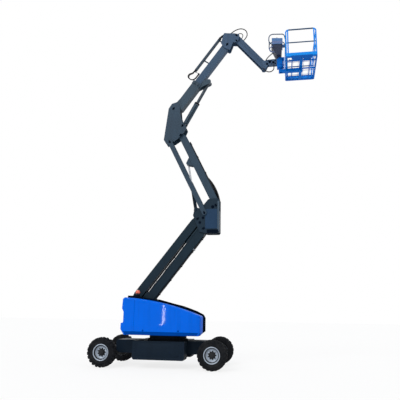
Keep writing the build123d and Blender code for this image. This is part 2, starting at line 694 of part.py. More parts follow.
rail_top = basket_floor + basket_height
half_l = basket_length / 2 - rail_radius
half_w = basket_width / 2 - rail_radius
deck_z = basket_floor + floor_thickness
with BuildPart() as platform_rails:
    for sy in (-1, 1):
        with BuildLine() as hoop:
            x0 = slew_x + basket_middle
            FilletPolyline((x0 - half_l, sy * half_w, deck_z), (x0 - half_l, sy * half_w, rail_top - rail_radius),
                           (x0 + half_l, sy * half_w, rail_top - rail_radius), (x0 + half_l, sy * half_w, deck_z),
                           radius=90)
        with BuildSketch(Plane(origin=(x0 - half_l, sy * half_w, deck_z))):
            Circle(rail_radius)
        sweep(path=hoop.line)
    for z in (basket_floor + 520.0,):
        with BuildSketch(Plane(origin=(x0 - half_l, 0, z), x_dir=(0, 1, 0), z_dir=(1, 0, 0))):
            with Locations((half_w, 0), (-half_w, 0)):
                Circle(rail_radius - 4)
        extrude(amount=2 * half_l)
    for z in (rail_top - rail_radius - 90, basket_floor + 520.0):
        for sx in (-1, 1):
            with BuildSketch(Plane(origin=(x0 + sx * half_l, half_w, z), x_dir=(1, 0, 0), z_dir=(0, -1, 0))):
                Circle(rail_radius - 4)
            extrude(amount=2 * half_w)
    with BuildSketch(Plane(origin=(x0, 0, deck_z))):
        RectangleRounded(basket_length, basket_width, 60)
        RectangleRounded(basket_length - 8, basket_width - 8, 56, mode=Mode.SUBTRACT)
    extrude(amount=toe_height - floor_thickness)
save(platform_rails, "platform_rails")

# outlines from the basket's rear face and floor
box_upper = [(-425, 870), (-75, 855), (-70, 1062), (-425, 1093)]
box_lower = [(-445, 868), (-100, 858), (-115, 540), (-150, 475), (-265, 475), (-330, 560), (-400, 720)]
box_bracket = [(-110, 860), (4 - run_gap, 860), (4 - run_gap, 910), (-110, 910)]
basket_corner = (basket_rear, basket_floor)
with BuildPart() as control_box:
    for outline, half_width in ((box_upper, 210), (box_lower, 190), (box_bracket, 60)):
        slab([shifted(basket_corner, p) for p in outline], -half_width, half_width)
save(control_box, "control_box")

# cylinders: name, base pin, rod pin, barrel length, rod's tail, barrel radius, rod radius, half of the rod's eye
cylinders = [
    ("riser", riser_base_pin, riser_rod_pin, 568.0, 440.0, 52.0, 30.0, 55.0),
    ("mid", mid_base_pin, mid_rod_pin, 940.0, 720.0, 52.0, 30.0, 55.0),
    ("upper", upper_base_pin, upper_rod_pin, 960.0, 775.0, 86.0, 52.0, 86.0),
]
for name, base, tip, barrel_length, rod_tail, barrel_radius, rod_radius, eye_half in cylinders:
    angle = degrees(atan2(tip[1] - base[1], tip[0] - base[0]))
    length = hypot(tip[0] - base[0], tip[1] - base[1])
    plane = along(base, angle)
    axial = Plane(origin=plane.origin, x_dir=plane.y_dir, z_dir=plane.x_dir)
    with BuildPart() as barrel:
        with BuildSketch(axial.offset(20)):
            Circle(barrel_radius)
        extrude(amount=barrel_length - 20)
        with BuildSketch(axial.offset(65)):
            Circle(rod_radius + run_gap)
        extrude(amount=barrel_length - 65, mode=Mode.SUBTRACT)
        with BuildSketch(plane):
            Circle(barrel_radius)
        extrude(amount=eye_half + 3, both=True)
        with BuildSketch(plane):
            Circle(pin_radius + run_gap)
        extrude(amount=eye_half + 3, both=True, mode=Mode.SUBTRACT)
    save(barrel, f"{name}_barrel")
    with BuildPart() as rod:
        with BuildSketch(axial.offset(rod_tail)):
            Circle(rod_radius)
        extrude(amount=length - rod_tail)
        with BuildSketch(along(tip, angle)):
            Circle(rod_radius + eye_wall)
        extrude(amount=eye_half, both=True)
        with BuildSketch(along(tip, angle)):
            Circle(rod_radius - 8)
        extrude(amount=eye_half, both=True, mode=Mode.SUBTRACT)
    save(rod, f"{name}_rod")
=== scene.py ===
import functools
import json
import math

import bmesh
import bpy
import numpy as np
from mathutils import Matrix, Vector


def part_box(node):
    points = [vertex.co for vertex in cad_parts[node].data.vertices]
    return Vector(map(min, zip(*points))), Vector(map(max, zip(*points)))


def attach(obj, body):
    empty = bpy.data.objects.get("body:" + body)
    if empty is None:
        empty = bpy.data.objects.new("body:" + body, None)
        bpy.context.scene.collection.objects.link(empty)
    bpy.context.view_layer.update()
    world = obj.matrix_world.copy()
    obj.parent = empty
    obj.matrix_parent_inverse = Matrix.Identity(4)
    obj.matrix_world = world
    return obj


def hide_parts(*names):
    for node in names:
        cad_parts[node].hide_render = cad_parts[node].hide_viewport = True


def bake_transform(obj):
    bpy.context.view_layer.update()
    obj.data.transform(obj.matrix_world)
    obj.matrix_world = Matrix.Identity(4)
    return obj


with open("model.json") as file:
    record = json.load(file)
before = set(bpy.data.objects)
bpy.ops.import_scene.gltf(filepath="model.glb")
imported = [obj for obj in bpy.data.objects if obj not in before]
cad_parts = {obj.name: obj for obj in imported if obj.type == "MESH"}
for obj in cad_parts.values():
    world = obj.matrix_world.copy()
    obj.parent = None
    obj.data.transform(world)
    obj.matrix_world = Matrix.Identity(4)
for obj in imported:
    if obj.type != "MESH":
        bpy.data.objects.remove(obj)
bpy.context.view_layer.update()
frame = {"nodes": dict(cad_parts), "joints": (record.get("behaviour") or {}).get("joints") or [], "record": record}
print("stage: frame loaded")

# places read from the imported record
joints = {joint["name"]: joint for joint in frame["joints"]}
anglesAtRest = {"riser": 52.2, "mid": 116.1, "boom": 53.9, "jib": -50.0}


def pivot(name):
    return np.array(joints[name]["pos_m"], float)


def corners(node):
    low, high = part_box(node)
    return np.array(low), np.array(high)


# unit directions of a boom at an angle above the horizon: along it, and to its left seen from the -Y side
def directions(angle):
    a = math.radians(angle)
    return np.array([math.cos(a), 0.0, math.sin(a)]), np.array([-math.sin(a), 0.0, math.cos(a)])


# start + s along the boom + t to its left + y across
def onBoom(start, angle, s, t=0.0, y=0.0):
    ahead, left = directions(angle)
    return start + s * ahead + t * left + np.array([0.0, y, 0.0])


# low and high of a node along a boom's own axes: s along it, t to its left and y across, from its pivot
def boomBox(node, start, angle):
    mesh = frame["nodes"][node].data
    points = np.empty(len(mesh.vertices) * 3)
    mesh.vertices.foreach_get("co", points)
    points = points.reshape(-1, 3) - start
    ahead, left = directions(angle)
    inBoom = np.stack([points @ ahead, points @ left, points[:, 1]], 1)
    return inBoom.min(0), inBoom.max(0)


def addObject(name, data):
    thing = bpy.data.objects.new(name, data)
    bpy.context.scene.collection.objects.link(thing)
    return thing


def turnTowards(thing, direction):
    thing.rotation_mode = "QUATERNION"
    thing.rotation_quaternion = Vector(direction).to_track_quat("Z", "Y")


cameraValues = {"place": (2.05529, -14.59682, 1.59820), "yaw": -9.44, "pitch": 13.263, "roll": 0.833,
                "lens": 42.579, "sensor": 36.0, "far": 300.0}


# the camera looks along yaw and pitch, and its two other axes turn by roll
def makeCamera(v):
    yaw, pitch, roll = (math.radians(v[k]) for k in ("yaw", "pitch", "roll"))
    forward = Vector((math.sin(yaw) * math.cos(pitch), math.cos(yaw) * math.cos(pitch), math.sin(pitch)))
    right = Vector((math.cos(yaw), -math.sin(yaw), 0.0))
    up = right.cross(forward)
    tiltedRight = right * math.cos(roll) + up * math.sin(roll)
    tiltedUp = up * math.cos(roll) - right * math.sin(roll)
    camera = addObject("camera", bpy.data.cameras.new("camera"))
    axes = Matrix((tiltedRight, tiltedUp, -forward)).transposed().to_4x4()
    camera.matrix_world = Matrix.Translation(v["place"]) @ axes
    camera.data.lens = v["lens"]
    camera.data.sensor_width = v["sensor"]
    camera.data.clip_end = v["far"]
    bpy.context.scene.camera = camera


makeCamera(cameraValues)
bpy.context.scene.view_settings.view_transform = "Standard"


# shader helpers
def newNode(tree, kind, **values):
    node = tree.nodes.new(kind)
    for key, value in values.items():
        if hasattr(node, key):
            setattr(node, key, value)
        else:
            node.inputs[key].default_value = value
    return node


# an effect group with its inputs' defaults, which gives a colour, a roughness and a height; with it come its
# linker, its calculator, the Object place, and its inner ends
def newGroup(name, inputs):
    group = bpy.data.node_groups.new(name, "ShaderNodeTree")

    def socket(label, way, isColour):
        kind = "NodeSocketColor" if isColour else "NodeSocketFloat"
        return group.interface.new_socket(name=label, in_out=way, socket_type=kind)

    for label, value in inputs.items():
        socket(label, "INPUT", isinstance(value, tuple)).default_value = value
    for label in ("Colour", "Roughness", "Height"):
        socket(label, "OUTPUT", label == "Colour")
    inside, outside = group.nodes.new("NodeGroupInput").outputs, group.nodes.new("NodeGroupOutput").inputs
    place = group.nodes.new("ShaderNodeTexCoord").outputs["Object"]
    return group, group.links.new, functools.partial(calculate, group), place, inside, outside


def calculate(tree, operation, a, b, clamp=False):
    node = tree.nodes.new("ShaderNodeMath")
    node.operation, node.use_clamp = operation, clamp
    for socket, value in zip(node.inputs, (a, b)):
        if isinstance(value, (int, float)):
            socket.default_value = value
        else:
            tree.links.new(value, socket)
    return node.outputs[0]


def mixColour(tree, factor, a, b):
    node = tree.nodes.new("ShaderNodeMix")
    node.data_type, node.blend_type = "RGBA", "MIX"
    for socket, value in ((node.inputs[0], factor), (node.inputs[6], a), (node.inputs[7], b)):
        if isinstance(value, (int, float, tuple)):
            socket.default_value = value
        else:
            tree.links.new(value, socket)
    return node.outputs[2]


def ramp(tree, value, low, high):
    node = newNode(tree, "ShaderNodeMapRange", clamp=True)
    node.inputs["From Min"].default_value = low
    node.inputs["From Max"].default_value = high
    tree.links.new(value, node.inputs["Value"])
    return node.outputs["Result"]


def noise(tree, place, **values):
    node = newNode(tree, "ShaderNodeTexNoise", **values)
    tree.links.new(place, node.inputs["Vector"])
    return node.outputs["Fac"]


def scaledColour(tree, colour, level):
    node = newNode(tree, "ShaderNodeVectorMath", operation="SCALE")
    tree.links.new(colour, node.inputs[0])
    tree.links.new(level, node.inputs["Scale"])
    return node.outputs[0]


# paint: slow colour drift, upright darker streaks that are painted reflection bands, dust near the ground, chips,
# and orange peel
def buildPaintGroup():
    group, link, sums, place, inside, outside = newGroup("paintPatinaAndReflection", {
        "Colour": (0.5, 0.5, 0.5, 1), "Dust Colour": (0.3, 0.27, 0.23, 1), "Drift": 0.15, "Streaks": 0.1,
        "Dust": 0.2, "Chips": 0.1, "Base Roughness": 0.4, "Peel": 0.2})
    slow = noise(group, place, Scale=0.9, Detail=3.0)
    # painted reflection: noise stretched upright darkens the colour in upright bands
    stretch = newNode(group, "ShaderNodeMapping", Scale=(9.0, 9.0, 0.7))
    link(place, stretch.inputs["Vector"])
    streakReflection = noise(group, stretch.outputs[0], Scale=1.0, Detail=4.0, Roughness=0.6)
    fine = noise(group, place, Scale=26.0, Detail=6.0, Roughness=0.7)
    peel = noise(group, place, Scale=140.0, Detail=2.0)
    split = newNode(group, "ShaderNodeSeparateXYZ")
    link(place, split.inputs[0])
    drift = sums("MULTIPLY", sums("SUBTRACT", slow, 0.5), inside["Drift"])
    reflectionStreaks = sums("MULTIPLY", ramp(group, streakReflection, 0.5, 0.75), inside["Streaks"])
    level = sums("SUBTRACT", sums("ADD", 1.0, sums("MULTIPLY", drift, 2.0)), reflectionStreaks)
    lowDown = ramp(group, split.outputs["Z"], 1.3, 0.1)
    dustMask = sums("MULTIPLY", sums("MULTIPLY", lowDown, ramp(group, fine, 0.3, 0.75)), inside["Dust"], True)
    dusty = mixColour(group, dustMask, scaledColour(group, inside["Colour"], level), inside["Dust Colour"])
    chipMask = sums("MULTIPLY", ramp(group, fine, 0.70, 0.74), inside["Chips"], True)
    link(mixColour(group, chipMask, dusty, (0.22, 0.22, 0.23, 1)), outside["Colour"])
    rough = sums("ADD", inside["Base Roughness"], sums("MULTIPLY", fine, 0.10))
    link(sums("ADD", rough, sums("MULTIPLY", dustMask, 0.3), True), outside["Roughness"])
    link(sums("SUBTRACT", sums("MULTIPLY", peel, inside["Peel"]), chipMask), outside["Height"])
    return group


# cast or moulded grain: a pebbled height, a shade that follows it, and dust in patches
def buildGrainGroup():
    group, link, sums, place, inside, outside = newGroup("castGrain", {
        "Colour": (0.1, 0.1, 0.1, 1), "Dust Colour": (0.25, 0.23, 0.2, 1), "Grain Scale": 90.0, "Dust": 0.2,
        "Base Roughness": 0.6})
    grain = noise(group, place, Detail=3.0)
    link(inside["Grain Scale"], grain.node.inputs["Scale"])
    cloud = noise(group, place, Scale=5.0, Detail=5.0, Roughness=0.65)
    dustMask = sums("MULTIPLY", ramp(group, cloud, 0.42, 0.72), inside["Dust"], True)
    shade = sums("ADD", 0.75, sums("MULTIPLY", grain, 0.5))
    tone = scaledColour(group, inside["Colour"], shade)
    link(mixColour(group, dustMask, tone, inside["Dust Colour"]), outside["Colour"])
    link(sums("ADD", inside["Base Roughness"], sums("MULTIPLY", cloud, 0.2), True), outside["Roughness"])
    link(grain, outside["Height"])
    return group


# ground and polished metal: a fine grain in its roughness and height, and a thin oily film
def buildBrushedGroup():
    group, link, sums, place, inside, outside = newGroup("brushedMetal", {
        "Colour": (0.6, 0.6, 0.6, 1), "Lines": 0.15, "Base Roughness": 0.2})
    line = noise(group, place, Scale=220.0, Detail=2.0)
    film = noise(group, place, Scale=7.0, Detail=4.0)
    oily = sums("MULTIPLY", ramp(group, film, 0.45, 0.8), 0.25)
    link(mixColour(group, oily, inside["Colour"], (0.10, 0.10, 0.10, 1)), outside["Colour"])
    rough = sums("MULTIPLY", line, inside["Lines"])
    link(sums("ADD", inside["Base Roughness"], rough, True), outside["Roughness"])
    link(line, outside["Height"])
    return group


# each effect's group, and which of its inputs a row of the table gives after the colour
effects = {"paint": (buildPaintGroup(), ("Drift", "Streaks", "Dust", "Chips", "Base Roughness", "Peel")),
           "grain": (buildGrainGroup(), ("Dust", "Base Roughness")),
           "brushed": (buildBrushedGroup(), ("Lines", "Base Roughness"))}
plainLook = {"metallic": 0.0, "coat": 0.0, "coatRoughness": 0.1, "bump": 0.2, "glow": 0.0, "sheen": 0.5}
bumpDistance = 0.002


# one Principled shader fed by one effect group
def makeFinish(name, effect, colour, values, extras):
    group, labels = effects[effect]
    look = {**plainLook, **extras}
    finish = bpy.data.materials.new(name)
    finish.use_nodes = True
    tree = finish.node_tree
    shader = tree.nodes["Principled BSDF"].inputs
    node = newNode(tree, "ShaderNodeGroup", node_tree=group)
    given = {"Colour": colour, **dict(zip(labels, values))}
    given.update({key: value for key, value in extras.items() if key not in plainLook})
    for key, value in given.items():
        node.inputs[key].default_value = (*value, 1.0) if isinstance(value, tuple) else value
    raised = newNode(tree, "ShaderNodeBump", Strength=look["bump"], Distance=bumpDistance)
    for source, target in ((node.outputs["Colour"], shader["Base Color"]),
                           (node.outputs["Roughness"], shader["Roughness"]),
                           (node.outputs["Height"], raised.inputs["Height"]),
                           (raised.outputs[0], shader["Normal"])):
        tree.links.new(source, target)
    shader["Metallic"].default_value = look["metallic"]
    shader["Specular IOR Level"].default_value = look["sheen"]
    shader["Coat Weight"].default_value = look["coat"]
    shader["Coat Roughness"].default_value = look["coatRoughness"]
    if look["glow"]:
        shader["Emission Color"].default_value = (*colour, 1.0)
        shader["Emission Strength"].default_value = look["glow"]
    return finish


# each finish: effect, colour, the effect's inputs, and what differs from the plain look or the defaults
# a paint row's values: drift, painted reflection streaks, dust, chips, base roughness, peel
paintWearAndReflection = (0.20, 0.25, 0.0, 0.35, 0.45, 0.3)
jibWearAndReflection = (0.18, 0.2, 0.0, 0.35, 0.45, 0.3)
ironDust = {"Dust Colour": (0.10, 0.09, 0.08)}
boxDust = {"Grain Scale": 200.0, "Dust Colour": (0.15, 0.16, 0.18)}
bandDust = {"Grain Scale": 200.0, "Dust Colour": (0.2, 0.22, 0.25), "sheen": 0.3}
finishTable = {
    "coverBlue": ("paint", (0.0, 0.112, 0.65), (0.10, 0.12, 0.0, 0.04, 0.24, 0.12),
                  {"coat": 0.12, "coatRoughness": 0.03, "sheen": 0.0, "bump": 0.1}),
    # coverShade is a darker copy of coverBlue: painted shade on the tucked band and the seam, and the latches' own
    # colour
    "coverShade": ("paint", (0.0, 0.050, 0.30), (0.10, 0.10, 0.0, 0.05, 0.35, 0.12), {"sheen": 0.0}),
    "platformBlue": ("paint", (0.001, 0.24, 0.76), (0.12, 0.12, 0.0, 0.25, 0.36, 0.2),
                     {"coat": 0.08, "sheen": 0.12}),
    # platformShade is a shaded copy of platformBlue: painted shade on the basket's floor, arms and rotator
    "platformShade": ("paint", (0.0, 0.115, 0.46), (0.15, 0.12, 0.0, 0.25, 0.38, 0.2), {"sheen": 0.05}),
    # riserGrey, elbowGrey, boomGrey, upperGrey, outerGrey and jibGrey are lit and shaded copies of one boom paint,
    # each part's tone holding its painted light and shade
    "riserGrey": ("paint", (0.0057, 0.0169, 0.0276), (0.25, 0.25, 0.0, 0.30, 0.45, 0.3), {"sheen": 0.12}),
    "elbowGrey": ("paint", (0.008, 0.020, 0.034), (0.30, 0.25, 0.0, 0.35, 0.45, 0.3), {"sheen": 0.12}),
    "panelBlue": ("paint", (0.012, 0.036, 0.078), paintWearAndReflection, {"sheen": 0.12}),
    # a lighter copy of the elbow paint: painted light on the elbow's lit end
    "stripLitGrey": ("paint", (0.050, 0.080, 0.112), paintWearAndReflection, {"sheen": 0.2}),
    "railSlate": ("paint", (0.016, 0.060, 0.130), (0.20, 0.1, 0.0, 0.35, 0.4, 0.3), {"sheen": 0.2}),
    # deepBlue is a darker copy of platformBlue: painted shade on the skirts, floor bars and rotator bands under
    # the basket
    "deepBlue": ("paint", (0.0, 0.075, 0.33), (0.15, 0.1, 0.0, 0.25, 0.4, 0.2), {"sheen": 0.1}),
    "boomGrey": ("paint", (0.018, 0.040, 0.066), (0.20, 0.2, 0.08, 0.35, 0.45, 0.3), {"sheen": 0.22}),
    "upperGrey": ("paint", (0.024, 0.058, 0.108), jibWearAndReflection, {"sheen": 0.22}),
    "outerGrey": ("paint", (0.026, 0.050, 0.074), (0.28, 0.25, 0.0, 0.35, 0.45, 0.3), {"sheen": 0.2}),
    "jibGrey": ("paint", (0.028, 0.064, 0.122), jibWearAndReflection, {"sheen": 0.22}),
    "chassisPaint": ("paint", (0.0067, 0.0138, 0.0243), (0.2, 0.15, 0.0, 0.25, 0.5, 0.3), {"sheen": 0.06}),
    "turntableBlack": ("paint", (0.0030, 0.0060, 0.0130), (0.2, 0.15, 0.0, 0.15, 0.5, 0.3), {"sheen": 0.0}),
    "rimSilver": ("paint", (0.34, 0.40, 0.48), (0.15, 0.05, 0.20, 0.3, 0.35, 0.2),
                  {"metallic": 0.3, "coat": 0.15}),
    "axleIron": ("grain", (0.008, 0.010, 0.014), (0.06, 0.6), {**ironDust, "sheen": 0.06}),
    "counterweightIron": ("grain", (0.010, 0.013, 0.018), (0.03, 0.6),
                          {**ironDust, "Grain Scale": 60.0, "bump": 0.4, "sheen": 0.0}),
    "engineIron": ("grain", (0.03, 0.03, 0.034), (0.15, 0.6), {}),
    "tankPlastic": ("grain", (0.02, 0.02, 0.022), (0.08, 0.5), {}),
    "rubber": ("grain", (0.007, 0.008, 0.010), (0.25, 0.75),
               {"Dust Colour": (0.055, 0.055, 0.055), "Grain Scale": 160.0, "bump": 0.3, "sheen": 0.08}),
    "hubBlack": ("grain", (0.006, 0.007, 0.009), (0.15, 0.5),
                 {"Dust Colour": (0.08, 0.08, 0.08), "sheen": 0.25}),
    "hoseBlack": ("grain", (0.007, 0.008, 0.010), (0.08, 0.45),
                  {"Grain Scale": 300.0, "Dust Colour": (0.06, 0.06, 0.06), "sheen": 0.3}),
    "controlGrey": ("grain", (0.060, 0.155, 0.34), (0.1, 0.5), bandDust),
    "boxGrey": ("grain", (0.030, 0.068, 0.130), (0.1, 0.5), {**boxDust, "sheen": 0.3}),
    "housingDark": ("grain", (0.018, 0.026, 0.055), (0.05, 0.5), {**boxDust, "sheen": 0.2}),
    "bandViolet": ("grain", (0.105, 0.150, 0.300), (0.05, 0.5), bandDust),
    "panelBlack": ("grain", (0.010, 0.012, 0.016), (0.03, 0.4), {"Grain Scale": 240.0, "sheen": 0.3}),
    "stopRed": ("grain", (0.5, 0.012, 0.01), (0.0, 0.35), {}),
    "rodChrome": ("brushed", (0.60, 0.62, 0.66), (0.08, 0.14), {"metallic": 1.0, "bump": 0.02}),
    "rodDark": ("brushed", (0.022, 0.036, 0.052), (0.1, 0.3), {"metallic": 0.2, "bump": 0.02, "sheen": 0.3}),
    "boltSteel": ("brushed", (0.20, 0.22, 0.25), (0.2, 0.3), {"metallic": 0.9, "bump": 0.05}),
    "beaconOrange": ("brushed", (0.62, 0.085, 0.03), (0.05, 0.18), {"coat": 0.5, "bump": 0.05, "glow": 0.1}),
}
finishes = {name: makeFinish(name, *row) for name, row in finishTable.items()}
slotFinish = {"chassis_paint": "chassisPaint", "axle_iron": "axleIron", "engine_iron": "engineIron",
              "counterweight_iron": "counterweightIron", "tank_plastic": "tankPlastic",
              "beacon_amber": "beaconOrange", "cover_blue": "coverBlue", "cylinder_paint": "chassisPaint",
              "rod_chrome": "rodChrome", "tray_black": "chassisPaint", "platform_blue": "platformBlue",
              "control_grey": "controlGrey", "boom_grey": "boomGrey", "tyre": "rubber",
              "rim_silver": "rimSilver"}
nodeFinish = {"riser_lower_beam": "riserGrey", "riser_upper_beam": "riserGrey", "boom_outer": "outerGrey",
              "boom_inner": "upperGrey", "boom_head": "jibGrey", "jib_arm": "jibGrey", "jib_link": "jibGrey",
              "jib_mount": "boxGrey", "upper_rod": "rodDark", "hose_tray": "boomGrey",
              "upper_barrel": "outerGrey", "elbow": "elbowGrey", "turntable_frame": "turntableBlack",
              "platform_floor": "platformShade", "platform_arm": "platformShade", "rotator": "platformShade"}
for row in frame["record"]["subparts"]:
    materials = frame["nodes"][row["node"]].data.materials
    materials.clear()
    materials.append(finishes[nodeFinish.get(row["node"], slotFinish[row["material_slot"]])])
print("stage: finishes")

# floor, world and lamps; each sun: strength, spread in degrees, direction towards it
stageValues = {"half": 70.0, "floor": (0.86, 0.86, 0.86, 1), "glow": 0.80, "sky": (0.95, 0.97, 1.0, 1),
               "light": 0.62}
suns = {"keyLamp": (1.5, 30, (-0.35, -0.75, 0.75)), "sideLamp": (0.5, 50, (0.9, -0.4, 0.4)),
        "backLamp": (0.5, 50, (-0.2, 0.9, 0.5))}
stripValues = {"wide": 0.17, "tall": 2.8, "watts": 110.0, "place": (-4.5, -14.6, 1.4),
               "aim": (-1.5, -0.95, 1.4)}


# two shaders mixed: the second is what camera, mirror and glass rays see, whole or by a share
def mixedForView(tree, outputKind, first, second, share=None):
    tree.nodes.clear()
    output, mix = newNode(tree, outputKind), newNode(tree, "ShaderNodeMixShader")
    rays = tree.nodes.new("ShaderNodeLightPath").outputs
    seen = calculate(tree, "MAXIMUM", rays["Is Camera Ray"], rays["Is Glossy Ray"])
    seen = calculate(tree, "MAXIMUM", seen, rays["Is Transmission Ray"])
    if share is not None:
        seen = calculate(tree, "MULTIPLY", seen, share)
    tree.links.new(seen, mix.inputs[0])
    for index, (kind, values) in enumerate((first, second), 1):
        tree.links.new(newNode(tree, kind, **values).outputs[0], mix.inputs[index])
    tree.links.new(mix.outputs[0], output.inputs[0])


def makeStage(v, strip):
    floorFinish = bpy.data.materials.new("studioFloor")
    floorFinish.use_nodes = True
    mixedForView(floorFinish.node_tree, "ShaderNodeOutputMaterial",
                 ("ShaderNodeBsdfDiffuse", {"Color": v["floor"]}),
                 ("ShaderNodeEmission", {"Strength": 1.0}), v["glow"])
    mesh = bpy.data.meshes.new("floor")
    half = v["half"]
    mesh.from_pydata([(-half, -half, 0), (half, -half, 0), (half, half, 0), (-half, half, 0)], [],
                     [(0, 1, 2, 3)])
    mesh.materials.append(floorFinish)
    addObject("floor", mesh)
    world = bpy.data.worlds.new("studio")
    bpy.context.scene.world = world
    world.use_nodes = True
    mixedForView(world.node_tree, "ShaderNodeOutputWorld",
                 ("ShaderNodeBackground", {"Strength": v["light"], "Color": v["sky"]}),
                 ("ShaderNodeBackground", {"Strength": 1.0, "Color": (1, 1, 1, 1)}))
    for name, (strength, spread, towards) in suns.items():
        lamp = addObject(name, bpy.data.lights.new(name, "SUN"))
        lamp.data.energy = strength
        lamp.data.angle = math.radians(spread)
        turnTowards(lamp, towards)
    lamp = addObject("stripLamp", bpy.data.lights.new("stripLamp", "AREA"))
    lamp.data.shape, lamp.data.size, lamp.data.size_y = "RECTANGLE", strip["wide"], strip["tall"]
    lamp.data.energy = strip["watts"]
    lamp.location = strip["place"]
    turnTowards(lamp, lamp.location - Vector(strip["aim"]))


makeStage(stageValues, stripValues)
print("stage: studio")


# quads of a rows x cols grid; a closed direction joins its last line to its first
def gridFaces(rows, cols, closeRows=False, closeCols=False):
    r = np.arange(rows if closeRows else rows - 1)
    c = np.arange(cols if closeCols else cols - 1)
    r, c = (a.ravel() for a in np.meshgrid(r, c, indexing="ij"))
    r1, c1 = (r + 1) % rows, (c + 1) % cols
    return np.stack([r * cols + c, r1 * cols + c, r1 * cols + c1, r * cols + c1], 1)


# one shell: a grid of points, with its first and last rows closed by flat caps if asked
def shell(points, closeRows=False, closeCols=True, caps=True):
    rows, cols = points.shape[:2]
    faces = [tuple(f) for f in gridFaces(rows, cols, closeRows, closeCols)]
    if caps and not closeRows:
        faces += [tuple(range(cols)), tuple(range((rows - 1) * cols, rows * cols))]
    return points.reshape(-1, 3), faces


# many copies of one shell: every copy's point is its offset + the shell's point in a frame of three axes
def copies(part, origins, frames):
    points, faces = part
    origins, frames = np.asarray(origins, float), np.asarray(frames, float)
    placed = origins[:, None, :] + np.einsum("pk,nkx->npx", points, frames)
    count = len(points)
    return placed.reshape(-1, 3), [tuple(i + n * count for i in f) for n in range(len(placed)) for f in faces]


def makePiece(name, parts, finish, body, smooth=40.0, replaces=()):
    vertices, faces, start = [], [], 0
    for points, polygons in parts:
        vertices.append(points)
        faces += [tuple(int(i) + start for i in f) for f in polygons]
        start += len(points)
    mesh = bpy.data.meshes.new(name)
    mesh.from_pydata(np.concatenate(vertices).tolist(), [], faces)
    work = bmesh.new()
    work.from_mesh(mesh)
    bmesh.ops.remove_doubles(work, verts=work.verts, dist=1e-5)
    bmesh.ops.dissolve_degenerate(work, edges=work.edges, dist=1e-6)
    bmesh.ops.recalc_face_normals(work, faces=work.faces)
    for face in work.faces:
        face.smooth = True
    for edge in work.edges:
        edge.smooth = len(edge.link_faces) == 2 and edge.calc_face_angle(0.0) < math.radians(smooth)
    work.to_mesh(mesh)
    work.free()
    mesh.materials.append(finishes[finish])
    piece = addObject(name, mesh)
    if body:
        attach(piece, body)
    if len(replaces):
        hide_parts(*replaces)
    return piece


# a profile of (radius, height) turned round an axis: centre + height * axis + radius * (cos e1 + sin e2)
def turned(profile, centre, axis, steps=48, closed=False):
    axis = np.asarray(axis, float) / np.linalg.norm(axis)
    e1 = np.cross(axis, (0.0, 0.0, 1.0) if abs(axis[2]) < 0.9 else (1.0, 0.0, 0.0))
    e1 /= np.linalg.norm(e1)
    e2 = np.cross(axis, e1)
    radius, height = np.array(profile, float).T
    t = np.linspace(0, 2 * np.pi, steps, endpoint=False)
    ring = np.cos(t)[:, None] * e1 + np.sin(t)[:, None] * e2
    points = np.asarray(centre, float) + height[:, None, None] * axis + radius[:, None, None] * ring
    return shell(points, closeRows=closed, caps=not closed)


# an outline of (x, z) between two widths, its rims drawn in by a small bevel
def plate(outline, yLow, yHigh, bevel=0.003):
    p = np.array(outline, float)
    back, ahead = p - np.roll(p, 1, 0), np.roll(p, -1, 0) - p
    back /= np.linalg.norm(back, axis=1, keepdims=True)
    ahead /= np.linalg.norm(ahead, axis=1, keepdims=True)
    area = np.sum(p[:, 0] * np.roll(p[:, 1], -1) - np.roll(p[:, 0], -1) * p[:, 1])
    inward = np.stack([-(back + ahead)[:, 1], (back + ahead)[:, 0]], 1) * np.sign(area)
    inward /= np.maximum(np.linalg.norm(inward, axis=1, keepdims=True), 1e-9)
    small = p + inward * bevel * 1.2
    rows = [(small, yLow), (p, yLow + bevel), (p, yHigh - bevel), (small, yHigh)]
    return shell(np.stack([np.stack([q[:, 0], np.full(len(q), y), q[:, 1]], 1) for q, y in rows]))


# a block between two corners with rounded edges: each point is an inner corner + radius * a direction
def block(low, high, radius=0.006, steps=2):
    low, high = np.array(low, float), np.array(high, float)
    radius = min(radius, 0.49 * (high - low).min())
    quarter = np.linspace(0, np.pi / 2, steps + 1)
    turn = np.concatenate([quarter + k * np.pi / 2 for k in range(4)])
    signX = np.repeat([1, -1, -1, 1], steps + 1)
    signY = np.repeat([1, 1, -1, -1], steps + 1)
    lift = np.concatenate([-quarter[::-1], quarter])
    signZ = np.repeat([-1, 1], steps + 1)
    centre, reach = (low + high) / 2, (high - low) / 2 - radius
    x = centre[0] + signX * reach[0] + radius * np.cos(lift)[:, None] * np.cos(turn)
    y = centre[1] + signY * reach[1] + radius * np.cos(lift)[:, None] * np.sin(turn)
    z = np.broadcast_to((centre[2] + signZ * reach[2] + radius * np.sin(lift))[:, None], x.shape)
    return shell(np.stack([x, y, z], 2))


# a block on a side face: from the face outwards by its thickness, on the side that sign says
def slab(sign, face, thick, xs, zs, radius=0.006, steps=2):
    yLow, yHigh = sorted((sign * face, sign * (face + thick)))
    return block((xs[0], yLow, zs[0]), (xs[1], yHigh, zs[1]), radius, steps)


# turns a part about a point in the side view, from upright axes to a boom's own
def leaned(part, origin, angle):
    points, faces = part
    ahead, left = directions(angle)
    across = points[:, 1:2] * np.array([0, 1.0, 0])
    return np.asarray(origin, float) + points[:, :1] * ahead + points[:, 2:] * left + across, faces


# parts made upright, from a joint's pivot, laid along a boom
def laidOn(joint, boom, parts):
    return [leaned(part, pivot(joint), anglesAtRest[boom]) for part in parts]


